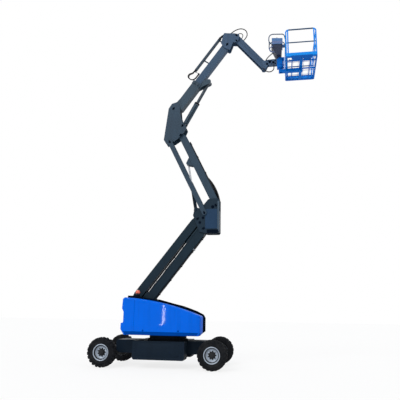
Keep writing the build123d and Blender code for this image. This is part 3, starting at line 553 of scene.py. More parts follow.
# a round bar: path point + radius * (cos side + sin up), with its frames from a fixed direction
def bar(path, radius, sides=10, fixed=(0.0, 1.0, 0.0)):
    path = np.array(path, float)
    step = np.gradient(path, axis=0)
    step /= np.linalg.norm(step, axis=1, keepdims=True)
    side = np.cross(step, fixed)
    side /= np.linalg.norm(side, axis=1, keepdims=True)
    up = np.cross(side, step)
    t = np.linspace(0, 2 * np.pi, sides, endpoint=False)[None, :, None]
    return shell(path[:, None] + radius * (np.cos(t) * side[:, None] + np.sin(t) * up[:, None]))


# an open line whose inner corners become arcs: a quadratic curve from radius before to radius after each
def rounded(line, radius, steps=5):
    p = np.array(line, float)
    out = [p[:1]]
    t = np.linspace(0, 1, steps)[:, None]
    for a, b, c in zip(p[:-2], p[1:-1], p[2:]):
        ua, uc = (a - b) / np.linalg.norm(a - b), (c - b) / np.linalg.norm(c - b)
        bend = b + (ua + uc) * radius * 0.12
        out.append((1 - t) ** 2 * (b + ua * radius) + 2 * t * (1 - t) * bend + t ** 2 * (b + uc * radius))
    return np.concatenate(out + [p[-1:]])


# hexagon heads: a short prism with a drawn-in top, copied to each place facing its direction
def bolts(places, facing, radius=0.014, height=0.010):
    t = np.linspace(0, 2 * np.pi, 6, endpoint=False)
    ring = np.stack([np.cos(t), np.sin(t)], 1)
    rows = [(radius, 0.0), (radius, height * 0.75), (radius * 0.85, height)]
    head = shell(np.stack([np.c_[ring * r, np.full(6, h)] for r, h in rows]))
    n = np.asarray(facing, float) / np.linalg.norm(facing)
    e1 = np.cross(n, (0.3, 0.4, 0.87))
    e1 /= np.linalg.norm(e1)
    places = np.atleast_2d(places)
    return copies(head, places, np.broadcast_to(np.stack([e1, np.cross(n, e1), n]), (len(places), 3, 3)))


# wheels, in metres from the wheel's centre: lines of (radius, height along the axle)
tyreValues = {
    "steps": 72, "lugs": 21, "halfWidth": 0.150, "skew": 0.13, "bend": 1.4, "foot": 1.25, "crest": 0.85,
    "lugHeight": (0.004, 0.05, 0.10, 0.128, 0.146, 0.150),
    "lugTop": (0.420, 0.420, 0.417, 0.404, 0.378, 0.352),
    "lugWidth": (0.050, 0.056, 0.064, 0.072, 0.078, 0.080),
    "lugBase": (0.388, 0.388, 0.386, 0.372, 0.350, 0.338),
    "carcass": [(0.2355, 0.118), (0.252, 0.136), (0.285, 0.143), (0.300, 0.1475), (0.308, 0.1475),
                (0.314, 0.143), (0.345, 0.141), (0.372, 0.128), (0.389, 0.104), (0.393, 0.06), (0.394, 0.0)]}
rimValues = {
    "steps": 64, "shadeThickness": 0.0015,
    "outside": [(0.2295, 0.130), (0.2195, 0.133), (0.2095, 0.128), (0.2035, 0.108), (0.196, 0.076),
                (0.190, 0.066), (0.180, 0.064), (0.174, 0.058), (0.168, 0.040), (0.158, 0.028),
                (0.140, 0.022), (0.128, 0.026), (0.0795, 0.026), (0.0795, -0.070)],
    "inside": [(0.150, -0.070), (0.196, -0.080), (0.204, -0.126), (0.2335, -0.129), (0.2335, -0.118),
               (0.214, -0.100), (0.210, 0.0), (0.214, 0.100), (0.2335, 0.120)],
    "recessShade": [(0.2032, 0.1085), (0.1962, 0.0765), (0.1902, 0.0668), (0.1810, 0.0648)],
    "innerShade": [(0.0795, -0.0705), (0.150, -0.0705), (0.1955, -0.0805), (0.2035, -0.1265), (0.2325, -0.1295)]}
hubValues = {
    "studs": 9, "studCircle": 0.108, "studFoot": 0.038, "nut": 0.0125, "nutHeights": (0.0, 0.016, 0.018),
    "reach": 0.105, "swell": 0.024, "dip": -0.35, "armSteps": 216,
    "star": [(1.0, 0.0255), (1.0, 0.036), (0.93, 0.042), (0.60, 0.045)],
    "cap": [(0.071, 0.045), (0.071, 0.072), (0.062, 0.082), (0.030, 0.086), (0.026, 0.092), (0.0, 0.094)]}


# each lug is a bar with a trapezium section, carried from near the middle over the shoulder:
# angle = pitch + skew * (height / half width) ** bend, and its radius falls past the shoulder
def lugRow(v, sign, phase):
    height, top, width, base = (np.array(v[k]) for k in ("lugHeight", "lugTop", "lugWidth", "lugBase"))
    pitch = 2 * np.pi * (np.arange(v["lugs"]) + phase) / v["lugs"]
    angle = pitch[:, None] + v["skew"] * (height / v["halfWidth"]) ** v["bend"]
    rows = []
    for radius, spread in ((base, -v["foot"]), (top, -v["crest"]), (top, v["crest"]), (base, v["foot"])):
        a = angle + spread * (width / 2) / radius
        across = np.broadcast_to(sign * height, a.shape)
        rows.append(np.stack([radius * np.cos(a), across, radius * np.sin(a)], -1))
    return [shell(g) for g in np.stack(rows, 2)]


# unit directions in the side view at some angles
def spokes(t):
    return np.stack([np.cos(t), np.zeros_like(t), np.sin(t)], 1)


def makeWheel(name):
    body, centre = "wheel_" + name, pivot("roll_" + name)
    axis = np.array([0.0, 1.0 if centre[1] > 0 else -1.0, 0.0])
    v = tyreValues
    profile = v["carcass"] + [(r, -h) for r, h in v["carcass"][-2::-1]]
    parts = [turned(profile, (0, 0, 0), (0, 1, 0), v["steps"], closed=True)]
    parts += lugRow(v, 1, 0.0) + lugRow(v, -1, 0.5)
    makePiece("tyreTread_" + name, [(p + centre, f) for p, f in parts], "rubber", body, 35.0,
              ["tyre_" + name])
    v = rimValues
    dish = turned(v["outside"] + v["inside"], centre, axis, v["steps"], closed=True)
    makePiece("rimDish_" + name, [dish], "rimSilver", body, 35.0, ["rim_" + name])
    # painted shade in the rim's recess and on its inner side, each a thin dark ring
    rings = []
    for line, shift in ((v["recessShade"], v["shadeThickness"]), (v["innerShade"], -v["shadeThickness"])):
        back = [(r - v["shadeThickness"], h + shift) for r, h in reversed(line)]
        rings.append(turned(line + back, centre, axis, v["steps"], closed=True))
    makePiece("rimShade_" + name, rings, "hubBlack", body, 35.0)
    # hub with a rounded arm to each stud: reach + swell * cos(studs * angle), never under the dip
    v = hubValues
    arm = np.linspace(0, 2 * np.pi, v["armSteps"], endpoint=False)
    reach = v["reach"] + v["swell"] * np.clip(np.cos(v["studs"] * arm), v["dip"], 1)
    star = shell(np.stack([centre + axis * h + spokes(arm) * (reach * s)[:, None] for s, h in v["star"]]))
    makePiece("hubStar_" + name, [star, turned(v["cap"], centre, axis, 36)], "hubBlack", body, 35.0)
    six = np.linspace(0, 2 * np.pi, 6, endpoint=False)
    ring = v["nut"] * np.stack([np.cos(six), np.sin(six)], 1)
    nut = shell(np.stack([np.c_[ring, np.full(6, h)] for h in v["nutHeights"]]))
    out = spokes(2 * np.pi * np.arange(v["studs"]) / v["studs"])
    axes = np.broadcast_to(axis, out.shape)
    nuts = copies(nut, centre + axis * v["studFoot"] + out * v["studCircle"],
                  np.stack([out, np.cross(axes, out), axes], 1))
    makePiece("wheelNuts_" + name, [nuts], "axleIron", body, 30.0)


for wheel in ("front_left", "front_right", "rear_left", "rear_right"):
    makeWheel(wheel)
print("stage: wheels")

# covers: outlines of (x from the chassis's middle, z), each front on its own and the rear shared
chassisX = (pivot("roll_front_left")[0] + pivot("roll_rear_left")[0]) / 2
coverValues = {"inner": 0.490, "outer": 0.950, "shoulder": 0.045, "flatten": 0.8, "bandTop": 0.990,
               "bandTuck": 0.022, "bandWall": 0.012, "wall": 0.012, "seamX": -0.700, "seamHalf": 0.003,
               "rounding": 0.018, "latchX": (-0.42, 0.62), "latchZ": 1.045}
coverFronts = {"right": [(1.190, 0.914), (1.255, 0.990), (1.260, 1.452)],
               "left": [(1.035, 0.914), (1.096, 0.990), (1.096, 1.400), (1.052, 1.500)]}
coverCrownStart = {"right": 1.235, "left": 0.860}
coverRear = [(-1.010, 1.978), (-1.066, 1.930), (-1.080, 1.652), (-1.030, 1.567), (-1.030, 1.262),
             (-1.100, 1.244), (-1.100, 1.070), (-1.049, 0.990), (-1.000, 0.914)]
crownPoints = ((-1.010, 1.978), (0.150, 1.812), (1.245, 1.466))
latchLine = [(0.026, 0.0), (0.026, 0.003), (0.021, 0.005), (0.010, 0.005), (0.009, 0.009), (0.0, 0.009)]


# height of the cover's top edge: the circle through its rear, middle and front points
def coverTop(x):
    a, b, c = (np.array(point) for point in crownPoints)
    centre = np.linalg.solve(np.array([b - a, c - a]), 0.5 * np.array([b @ b - a @ a, c @ c - a @ a]))
    return centre[1] + np.sqrt(np.linalg.norm(a - centre) ** 2 - (np.asarray(x) - centre[0]) ** 2)


# open line of (x, z) moved to its left by a distance: each inner corner moves along its mitre
def movedIn(line, distance):
    line = np.array(line, float)
    step = np.diff(line, axis=0)
    step /= np.linalg.norm(step, axis=1, keepdims=True)
    normal = np.stack([-step[:, 1], step[:, 0]], 1)
    out = line.copy()
    mitre = (normal[:-1] + normal[1:]) / (1 + np.sum(normal[:-1] * normal[1:], 1))[:, None]
    out[1:-1] += distance * mitre
    out[0, 0] += distance * np.sign(normal[0, 0])
    out[-1, 0] += distance * np.sign(normal[-1, 0])
    return out


def makeCover(word, sign):
    v, body = coverValues, "hood_" + word
    topX = np.linspace(coverCrownStart[word], crownPoints[0][0], 16)[:-1]
    outline = coverFronts[word] + [(x, float(coverTop(x))) for x in topX] + coverRear
    # rows go out in y with shoulder * sin t while the line moves in by flatten * shoulder * (1 - cos t)
    inset = v["shoulder"] * v["flatten"]
    rows = [(v["inner"], 0.0), (v["outer"] - v["shoulder"] - 0.2, 0.0)]
    rows += [(v["outer"] - v["shoulder"] * (1 - math.sin(k)), inset * (1 - math.cos(k)))
             for k in np.linspace(0, np.pi / 2, 7)]
    rows.append((v["outer"], inset + 0.012))
    grid = []
    for y, moved in rows:
        line = movedIn(outline, moved)
        line3 = np.stack([line[:, 0], np.zeros(len(line)), line[:, 1]], 1)
        soft = np.concatenate([line3[:1], rounded(line3[1:-1], v["rounding"], 4), line3[-1:]])
        tuck = v["bandTuck"] * (y - v["inner"]) / (v["outer"] - v["inner"])
        soft[:, 1] = y - np.where(soft[:, 2] < v["bandTop"] - 0.01, tuck, 0.0)
        grid.append(soft)
    grid = np.stack(grid) * np.array([1.0, sign, 1.0]) + np.array([chassisX, 0.0, 0.0])
    count = grid.shape[1]
    points, faces = shell(grid, closeCols=False, caps=False)
    last = (len(rows) - 1) * count
    faces.append(tuple(range(last + 1, last + count - 1)))
    cover = makePiece("coverSkin_" + word, [(points, faces)], "coverBlue", body, 25.0, [body])
    flat = max(cover.data.polygons, key=lambda f: f.area)
    if flat.normal.dot(Vector((0, sign, 0))) < 0:
        cover.data.flip_normals()
    wall = cover.modifiers.new("wall", "SOLIDIFY")
    wall.thickness, wall.offset = v["wall"], -1.0
    # the tucked band below the flat side, a darker sheet: painted shade under the cover
    front, rear, lowFront, lowRear = grid[-1][1], grid[-1][-2], grid[-1][0], grid[-1][-1]
    out, depth = np.array([0.0, sign * 0.001, 0.0]), np.array([0.0, sign * v["bandWall"], 0.0])
    k = np.linspace(0, 1, 12)[:, None]
    band = np.stack([front + (rear - front) * k, lowFront + (lowRear - lowFront) * k])
    thick = np.stack([band[0], band[1], band[1] - depth, band[0] - depth])
    band = shell(thick + out, closeRows=True, closeCols=False, caps=False)
    makePiece("coverBand_" + word, [band], "coverShade", body, 25.0)
    # the seam: a thin strip of the darker blue, painted shade standing in for a groove between panels
    seamX, seamTop = chassisX + v["seamX"], float(coverTop(v["seamX"])) - 0.05
    seam = slab(sign, v["outer"], 0.0012, (seamX - v["seamHalf"], seamX + v["seamHalf"]),
                (v["bandTop"] + 0.02, seamTop), 0.0005, 1)
    latches = [turned(latchLine, (chassisX + x, sign * v["outer"], v["latchZ"]), (0, sign, 0), 28)
               for x in v["latchX"]]
    makePiece("coverSeam_" + word, [seam], "coverShade", body)
    makePiece("coverLatches_" + word, latches, "coverShade", body)


makeCover("right", -1.0)
makeCover("left", 1.0)
print("stage: covers")

# pins: a domed cap of (share of the radius, height), and a keeper plate in radii, held by two bolts
pinValues = {"cap": [(1.12, 0.0), (1.12, 0.005), (0.9, 0.008), (0.35, 0.008), (0.28, 0.003), (0.0, 0.003)],
             "keeper": [(-1.6, -0.42), (1.6, -0.42), (1.9, 0.0), (1.6, 0.42), (-1.6, 0.42), (-1.9, 0.0)],
             "keeperThick": 0.008, "stand": 0.006, "boltsAt": (-1.45, 1.45), "radius": 0.032,
             "jibLinkRadius": 0.026}


def pinSet(place, sign, y, radius, turn):
    v = pinValues
    centre, axis = np.array([place[0], sign * y, place[2]]), np.array([0.0, sign, 0.0])
    cap = turned([(radius * r, h) for r, h in v["cap"]], centre, axis, 32)
    along, up = directions(turn)
    base = centre - axis * v["stand"]
    raised = base + axis * v["keeperThick"]
    outline = np.array([base + radius * (u * along + w * up) for u, w in v["keeper"]])
    keeper = shell(np.stack([outline, outline + axis * v["keeperThick"]]))
    return cap, keeper, bolts([raised + radius * k * along for k in v["boltsAt"]], axis, 0.009, 0.006)


# each body's pins: joint or beam end, the y of the outermost plate's face, and the keeper's angle
plateOuter, linkOuter, headOuter = 0.180, 0.224, corners("boom_head")[1][1] - 0.006
riserUpperHead = pivot("riser_link") + (pivot("elbow_level") - pivot("riser_lift"))
midLinkHead = pivot("mid_link_turn") + (pivot("knuckle_level") - pivot("mid_lift"))
beamEnds = {"riserUpperHead": riserUpperHead, "midLinkHead": midLinkHead}
pinSets = {
    "turntable": [("riser_link", plateOuter, 52.0), ("riser_lift", plateOuter, 52.0)],
    "elbow": [("elbow_level", plateOuter, 20.0), ("mid_lift", plateOuter, 116.0),
              ("mid_link_turn", linkOuter, 116.0), ("riserUpperHead", plateOuter, 52.0)],
    "knuckle": [("knuckle_level", plateOuter, 30.0), ("boom_lift", plateOuter, 54.0),
                ("upper_barrel_turn", plateOuter, 60.0), ("midLinkHead", linkOuter, 116.0)],
    "boom_head": [("head_level", headOuter, 54.0), ("jib_lift", headOuter, -50.0),
                  ("jib_link_turn", headOuter, -50.0)],
}
for body, rows in pinSets.items():
    sets = []
    for name, y, turn in rows:
        place = beamEnds[name] if name in beamEnds else pivot(name)
        radius = pinValues["jibLinkRadius" if name == "jib_link_turn" else "radius"]
        sets += [pinSet(place, sign, y + pinValues["stand"], radius, turn) for sign in (-1.0, 1.0)]
    caps, keepers, heads = zip(*sets)
    makePiece("pinCaps_" + body, caps, "turntableBlack", body)
    makePiece("pinKeepers_" + body, keepers, "chassisPaint", body)
    makePiece("pinBolts_" + body, heads, "turntableBlack", body)
print("stage: pins")

beaconValues = {"foot": [(0.045, 0.0), (0.045, 0.012), (0.036, 0.016), (0.036, 0.030)], "seat": 0.048,
                "flutes": 24, "fluteDepth": 0.018, "flutedTo": 0.8,
                "rise": (0.0, 0.05, 0.35, 0.62, 0.78, 0.90, 0.97, 1.0),
                "spread": (0.90, 0.94, 0.90, 0.84, 0.74, 0.54, 0.28, 0.02)}


# lens: radius falls slowly then closes as a dome; below it, upright flutes = 1 + depth * cos(flutes * angle)
def makeBeacon(v):
    low, high = corners("beacon")
    centre = np.array([(low[0] + high[0]) / 2, (low[1] + high[1]) / 2, low[2]])
    full, tall = (high[0] - low[0]) / 2, high[2] - low[2]
    foot = v["foot"] + [(full * 0.98, 0.034), (full * 0.98, 0.046), (0.050, 0.050)]
    makePiece("beaconFoot", [turned(foot, centre, (0, 0, 1), 40)], "panelBlack", "turntable")
    t = np.linspace(0, 2 * np.pi, 96, endpoint=False)
    h = (np.array(v["rise"]) * (tall - v["seat"]) + v["seat"])[:, None]
    fluted = np.where(h < v["flutedTo"] * tall, 1 + v["fluteDepth"] * np.cos(v["flutes"] * t), 1.0)
    r = full * np.array(v["spread"])[:, None] * fluted
    lens = np.stack([centre[0] + r * np.cos(t), centre[1] + r * np.sin(t),
                     np.broadcast_to(centre[2] + h, r.shape)], 2)
    makePiece("beaconLens", [shell(lens)], "beaconOrange", "turntable", 60.0, ["beacon"])


makeBeacon(beaconValues)


# chassis: ribs, a top rail and a panel on each side box, and a bolted flange round the slew ring
def makeChassisTrim():
    low, high = corners("chassis_boxes")
    side = high[1]
    trims, heads = [], []
    for sign in (-1.0, 1.0):
        for x in (low[0] + 0.06, low[0] + 0.10, high[0] - 0.06, high[0] - 0.10):
            ribZ = (low[2] + 0.06, high[2] - 0.02)
            trims.append(slab(sign, side, 0.006, (x - 0.006, x + 0.006), ribZ, 0.002))
        railX, railZ = (low[0] + 0.01, high[0] - 0.01), (high[2] - 0.028, high[2] - 0.004)
        panelX, panelZ = (low[0] + 0.15, high[0] - 0.15), (low[2] + 0.09, high[2] - 0.07)
        trims.append(slab(sign, side, 0.008, railX, railZ, 0.003))
        trims.append(slab(sign, side, 0.004, panelX, panelZ, 0.002))
        places = [(x, sign * (side + 0.004), z) for x in (low[0] + 0.19, high[0] - 0.19)
                  for z in (low[2] + 0.13, high[2] - 0.11)]
        heads.append(bolts(places, (0, sign, 0), 0.013, 0.009))
    makePiece("chassisPanels", trims, "chassisPaint", "chassis")
    makePiece("chassisPanelBolts", heads, "chassisPaint", "chassis")
    ringLow, ringHigh = corners("slew_ring")
    centre, radius = (ringLow + ringHigh) / 2, (ringHigh[0] - ringLow[0]) / 2
    inner, outer, thick, count = radius - 0.002, radius + 0.045, 0.030, 32
    flange = turned([(inner, thick), (outer, thick), (outer, 0.002), (inner, 0.002)],
                    (centre[0], centre[1], ringLow[2]), (0, 0, 1), 64, closed=True)
    t, circle = np.linspace(0, 2 * np.pi, count, endpoint=False), radius + 0.024
    places = np.stack([centre[0] + circle * np.cos(t), centre[1] + circle * np.sin(t),
                       np.full(count, ringLow[2] + thick)], 1)
    makePiece("slewFlange", [flange], "axleIron", "chassis")
    makePiece("slewBolts", [bolts(places, (0, 0, 1), 0.014, 0.014)], "axleIron", "chassis")


makeChassisTrim()
print("stage: chassis")

# hose runs fixed along a boom: body, joint, boom, the face's t, its outward side, first and last s, clips' s,
# hoses' y, radius
hoseRuns = [
    ("riser_lower", "riser_lift", "riser", -0.140, -1, 0.60, 2.95, (0.70, 1.25, 1.80, 2.35, 2.86),
     (-0.100, -0.062, -0.024), 0.017),
    ("riser_lower", "riser_lift", "riser", 0.118, 1, 0.34, 2.96, (0.96, 1.42, 1.88, 2.30),
     (-0.108, -0.070, -0.032), 0.0155),
    ("riser_upper", "riser_link", "riser", -0.118, -1, 0.30, 2.80, (), (0.030, 0.058, 0.086), 0.006),
    ("mid_beam", "mid_lift", "mid", -0.146, -1, 0.40, 2.34, (0.52, 1.16, 1.76, 2.26),
     (-0.092, -0.054, -0.016), 0.017),
]
clipValues = {"halfLength": 0.014, "width": 0.140, "over": 0.012, "radius": 0.006}
waveValues = {"height": 0.003, "heightRate": 9.0, "heightShift": 2.1, "side": 0.003, "sideRate": 7.0}


# each hose stands height * sin off the face and side * sin across, and a clip is a low saddle over the hoses
def makeBoomRuns(v, wave):
    for number, (body, joint, boom, t, side, first, last, clipsAt, ys, radius) in enumerate(hoseRuns):
        hoses, along = [], np.linspace(first, last, 70)
        for index, y in enumerate(ys):
            height = wave["height"] * np.sin(along * wave["heightRate"] + index * wave["heightShift"])
            sideways = wave["side"] * np.sin(along * wave["sideRate"] + index)
            rows = zip(along, t + side * (radius + 0.002 + height), y + sideways)
            hoses.append(bar([onBoom(pivot(joint), anglesAtRest[boom], *row) for row in rows], radius, 12))
        makePiece("hoseRun%d_" % number + body, hoses, "hoseBlack", body, 60.0)
        low, high = sorted((t, t + side * (2 * radius + v["over"])))
        middle, half, reach = sum(ys) / len(ys), v["width"] / 2, v["halfLength"]
        clips = [block((a - reach, middle - half, low), (a + reach, middle + half, high), v["radius"])
                 for a in clipsAt]
        if clips:
            makePiece("hoseClips%d_" % number + body, laidOn(joint, boom, clips), "turntableBlack", body)


makeBoomRuns(clipValues, waveValues)

# covers over the hoses between the two riser beams, near both ends: the spans of s, y and t; one beam's stand
# on the near half and the other's hang on the far half, so that they pass each other
hoseCovers = {"riser_lower": ("riser_lift", [(0.24, 0.52), (2.44, 3.05)], (-0.124, -0.004), (0.119, 0.186)),
              "riser_upper": ("riser_link", [(0.14, 0.40), (2.32, 2.93)], (0.004, 0.124), (-0.186, -0.119))}
for body, (joint, spans, (yLow, yHigh), (tLow, tHigh)) in hoseCovers.items():
    parts = [block((first, yLow, tLow), (last, yHigh, tHigh), 0.010) for first, last in spans]
    makePiece("hoseCovers_" + body, laidOn(joint, "riser", parts), "riserGrey", body)

# the bundle swells from the mid beam beside the elbow: a hose's bulge = its height * sine of the way ** 0.8
swellValues = {"rows": ((-0.092, 0.062), (-0.060, 0.050), (-0.028, 0.036), (0.010, 0.022), (0.048, 0.006),
                        (0.086, -0.016)), "face": -0.170, "start": 0.10, "length": 0.84, "radius": 0.018}


def makeSwell(v):
    way, hoses = np.linspace(0.0, 1.0, 44), []
    for y, height in v["rows"]:
        lifts = v["face"] - height * np.sin(np.pi * way) ** 0.8
        line = [onBoom(pivot("mid_lift"), anglesAtRest["mid"], v["start"] + v["length"] * a, t, y)
                for a, t in zip(way, lifts)]
        hoses.append(bar(line, v["radius"], 12))
    makePiece("midHoseSwell", hoses, "hoseBlack", "mid_beam", 60.0)


makeSwell(swellValues)
clamp = [block((2.425, -0.130, -0.192), (2.462, 0.012, -0.142))]
makePiece("riserClamp", laidOn("riser_lift", "riser", clamp), "boltSteel", "riser_lower")

# slim raised flats where the side plates of a box boom are welded: node, body, joint, boom, first and last s,
# the two strips' t, the side's y or none to read the node's own, finish
edgeWelds = [
    ("riser_lower_beam", "riser_lower", "riser_lift", "riser", (0.35, 2.85), (-0.128, 0.106), None,
     "riserGrey"),
    ("riser_upper_beam", "riser_upper", "riser_link", "riser", (0.35, 2.85), (-0.106, 0.128), None,
     "riserGrey"),
    ("mid_beam", "mid_beam", "mid_lift", "mid", (0.32, 2.40), (-0.134, 0.078), None, "boomGrey"),
    ("jib_arm", "jib_arm", "jib_lift", "jib", (0.20, 1.22), (-0.098, 0.058), 0.062, "jibGrey")]
for node, body, joint, boom, span, strips, side, finish in edgeWelds:
    low, high = boomBox(node, pivot(joint), anglesAtRest[boom])
    side = side or max(-low[2], high[2])
    parts = [slab(sign, side, 0.003, span, (t - 0.009, t + 0.009), 0.0015, 1)
             for sign in (-1, 1) for t in strips]
    makePiece("edgeWelds_" + body, laidOn(joint, boom, parts), finish, body)

# telescope: wear pads and screws at the outer boom's mouth; s is from the mouth, t from the inner's middle
padValues = {"mouth": 1.225, "span": (-0.105, -0.020), "apart": 0.075, "half": 0.035, "thick": 0.012,
             "screws": (-0.085, -0.040)}


def makeTelescope(v):
    start, angle = pivot("boom_lift"), anglesAtRest["boom"]
    side = boomBox("boom_outer", start, angle)[1][2]
    innerLow, innerHigh = boomBox("boom_inner", start, angle)
    middle = (innerLow[1] + innerHigh[1]) / 2
    span = [v["mouth"] + a for a in v["span"]]
    pads, heads = [], []
    for sign in (-1, 1):
        for t in (middle - v["apart"], middle + v["apart"]):
            pads.append(slab(sign, side, v["thick"], span, (t - v["half"], t + v["half"]), 0.004))
            outside = sign * (side + v["thick"])
            places = [onBoom(start, angle, v["mouth"] + a, t, outside) for a in v["screws"]]
            heads.append(bolts(places, (0, sign, 0), 0.010, 0.008))
    makePiece("wearPads", laidOn("boom_lift", "boom", pads), "outerGrey", "boom_outer")
    makePiece("wearPadBolts", heads, "axleIron", "boom_outer")


makeTelescope(padValues)
print("stage: booms")

# cylinders: a gland nut, a collar, two ports and a hard line on each barrel; how far along the lower port is
lowerPorts = {"riser": 0.190, "mid": 0.095, "upper": 0.095}
portLine = [(0.017, 0.0), (0.017, 0.016), (0.012, 0.018), (0.012, 0.030), (0.0, 0.030)]
portLean = (0.5, 0.866)


def makeCylinder(name, lowerPort):
    body, base = name + "_barrel", pivot(name + "_barrel_turn")
    axis = np.array(joints[name + "_rod_slide"]["axis"], float)
    low, high = boomBox(body, base, math.degrees(math.atan2(axis[2], axis[0])))
    length, radius = high[0], min(high[1], -low[1])
    skin = radius + 0.0005
    gland = turned([(radius * 0.80, -0.002), (radius * 1.05, -0.002), (radius * 1.05, -0.040), (skin, -0.046),
                    (skin, -0.060), (radius * 0.80, -0.060)], base + axis * length, axis, 40, closed=True)
    collar = turned([(skin, 0.075), (radius * 1.06, 0.080), (radius * 1.06, 0.115), (skin, 0.120)],
                    base, axis, 40, closed=True)
    makePiece("cylinderGlands_" + name, [gland, collar], "axleIron", body, 35.0)
    # ports and line lean out between the barrel's side and the near side
    side = 1.0 if name == "mid" else -1.0
    left, near = np.array([-axis[2], 0.0, axis[0]]) * side, np.array([0.0, -1.0, 0.0])
    out = left * portLean[0] + near * portLean[1]
    upperPort = length - 0.075
    ports = [turned(portLine, base + axis * a + out * (radius - 0.002), out, 20)
             for a in (lowerPort, upperPort)]
    route = [base + axis * a + out * (radius + b)
             for a, b in ((0.095, 0.024), (0.14, 0.024), (length - 0.13, 0.020), (upperPort, 0.024))]
    makePiece("cylinderPorts_" + name, ports, "boltSteel", body, 35.0)
    line = bar(rounded(route, 0.03, 6), 0.007, 10, tuple(out))
    makePiece("cylinderLine_" + name, [line], "axleIron", body, 60.0)


for name, lowerPort in lowerPorts.items():
    makeCylinder(name, lowerPort)
print("stage: cylinders")

# hose carrier on the upper boom: side rails and cross links over the tray
carrierValues = {"deep": 0.056, "margin": 0.004, "pitch": 0.085, "linkHalf": 0.008}


def makeCarrier(v):
    low, high = boomBox("hose_tray", pivot("boom_lift"), anglesAtRest["boom"])
    side, top, margin, half = high[2], high[1], v["margin"], v["linkHalf"]
    railS, railT = (low[0] + 0.01, high[0] - 0.01), (top - v["deep"] - margin, top + margin)
    rails = [slab(sign, side - margin, 2 * margin, railS, railT, 0.003, 1) for sign in (-1, 1)]
    links = [block((a - half, 0.006 - side, top - 0.002), (a + half, side - 0.006, top + 0.008), 0.003, 1)
             for a in np.arange(low[0] + 0.05, high[0] - 0.04, v["pitch"])]
    makePiece("carrierRails", laidOn("boom_lift", "boom", rails), "boomGrey", "boom_inner")
    makePiece("carrierLinks", laidOn("boom_lift", "boom", links), "chassisPaint", "boom_inner")


makeCarrier(carrierValues)


# a hose's NURBS spline through loose control points, the points of its own line, and that line's length
def hoseSpline(name, points):
    curve = bpy.data.curves.new(name, "CURVE")
    curve.dimensions = "3D"
    spline = curve.splines.new("NURBS")
    spline.points.add(len(points) - 1)
    for point, place in zip(spline.points, points):
        point.co = (*place, 1.0)
    spline.order_u = 3
    spline.use_endpoint_u = True
    spline.resolution_u = 10
    guide = addObject(name + "Guide", curve)
    bpy.context.view_layer.update()
    line = bpy.data.meshes.new_from_object(guide.evaluated_get(bpy.context.evaluated_depsgraph_get()))
    path = np.array([tuple(v.co) for v in line.vertices])
    bpy.data.meshes.remove(line)
    bpy.data.objects.remove(guide)
    return curve, path, float(np.linalg.norm(np.diff(path, axis=0), axis=1).sum())


# a free hose that rides on one body, with its control points along the upper boom as (s, t, y)
def hoseLoop(name, body, diameter, places):
    points = [onBoom(pivot("boom_lift"), anglesAtRest["boom"], *place) for place in places]
    curve, _, length = hoseSpline(name, points)
    curve.bevel_depth = diameter / 2
    curve.bevel_resolution = 4
    curve.use_fill_caps = True
    curve.materials.append(finishes["hoseBlack"])
    piece = addObject(name, curve)
    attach(piece, body)


hoseLoop("carrierLoopA", "boom_inner", 0.034,
         [(1.60, 0.285, -0.060), (1.50, 0.286, -0.060), (1.42, 0.302, -0.060), (1.34, 0.380, -0.058),
          (1.235, 0.365, -0.056), (1.195, 0.255, -0.054), (1.225, 0.145, -0.052), (1.32, 0.102, -0.050),
          (1.42, 0.100, -0.050), (1.52, 0.100, -0.050)])
hoseLoop("carrierLoopB", "boom_inner", 0.034,
         [(1.60, 0.285, -0.020), (1.50, 0.284, -0.020), (1.42, 0.296, -0.020), (1.35, 0.362, -0.018),
          (1.250, 0.352, -0.016), (1.210, 0.250, -0.014), (1.240, 0.150, -0.012), (1.33, 0.104, -0.010),
          (1.42, 0.102, -0.010), (1.52, 0.102, -0.010)])
# the loops' foot: a shoe under their lower ends, a thin web and a saddle under their upper ends
footParts = [block((1.500, -0.072, 0.082), (1.545, 0.010, 0.120)),
             block((1.520, -0.034, 0.110), (1.536, -0.028, 0.262), 0.002, 1),
             block((1.518, -0.072, 0.250), (1.600, 0.010, 0.270), 0.004, 1)]
makePiece("carrierFoot", laidOn("boom_lift", "boom", footParts), "chassisPaint", "boom_inner")


# hose that curves over a joint: a tube along its spline, with x and z from a pivot and y from the middle, left on
# no body
def jointHose(name, diameter, origin, places):
    curve, path, length = hoseSpline(name, [(origin[0] + x, y, origin[2] + z) for x, y, z in places])
    bpy.data.curves.remove(curve)
    piece = makePiece(name, [bar(path, diameter / 2, 12)], "hoseBlack", None, 60.0)
    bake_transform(piece)


jibPivot, mountPivot = pivot("jib_lift"), pivot("mount_level")
jointHose("jibHoseOuter", 0.032, jibPivot,
          [(-0.265, -0.098, 0.040), (-0.165, -0.095, 0.135), (0.005, -0.080, 0.250), (0.180, -0.06, 0.290),
           (0.330, -0.06, 0.200), (0.372, -0.055, 0.030), (0.310, -0.05, -0.095), (0.240, -0.045, -0.165)])
jointHose("jibHoseInner", 0.026, jibPivot,
          [(-0.245, 0.098, 0.020), (-0.125, 0.090, 0.105), (0.020, 0.065, 0.165), (0.150, 0.030, 0.165),
           (0.215, 0.010, 0.080), (0.195, 0.0, -0.020), (0.155, 0.0, -0.085)])
jointHose("mountHoseA", 0.032, mountPivot,
          [(-0.020, -0.10, -0.200), (0.010, -0.11, -0.260), (0.090, -0.115, -0.350), (0.200, -0.115, -0.385),
           (0.310, -0.11, -0.330), (0.350, -0.10, -0.220), (0.330, -0.095, -0.100)])
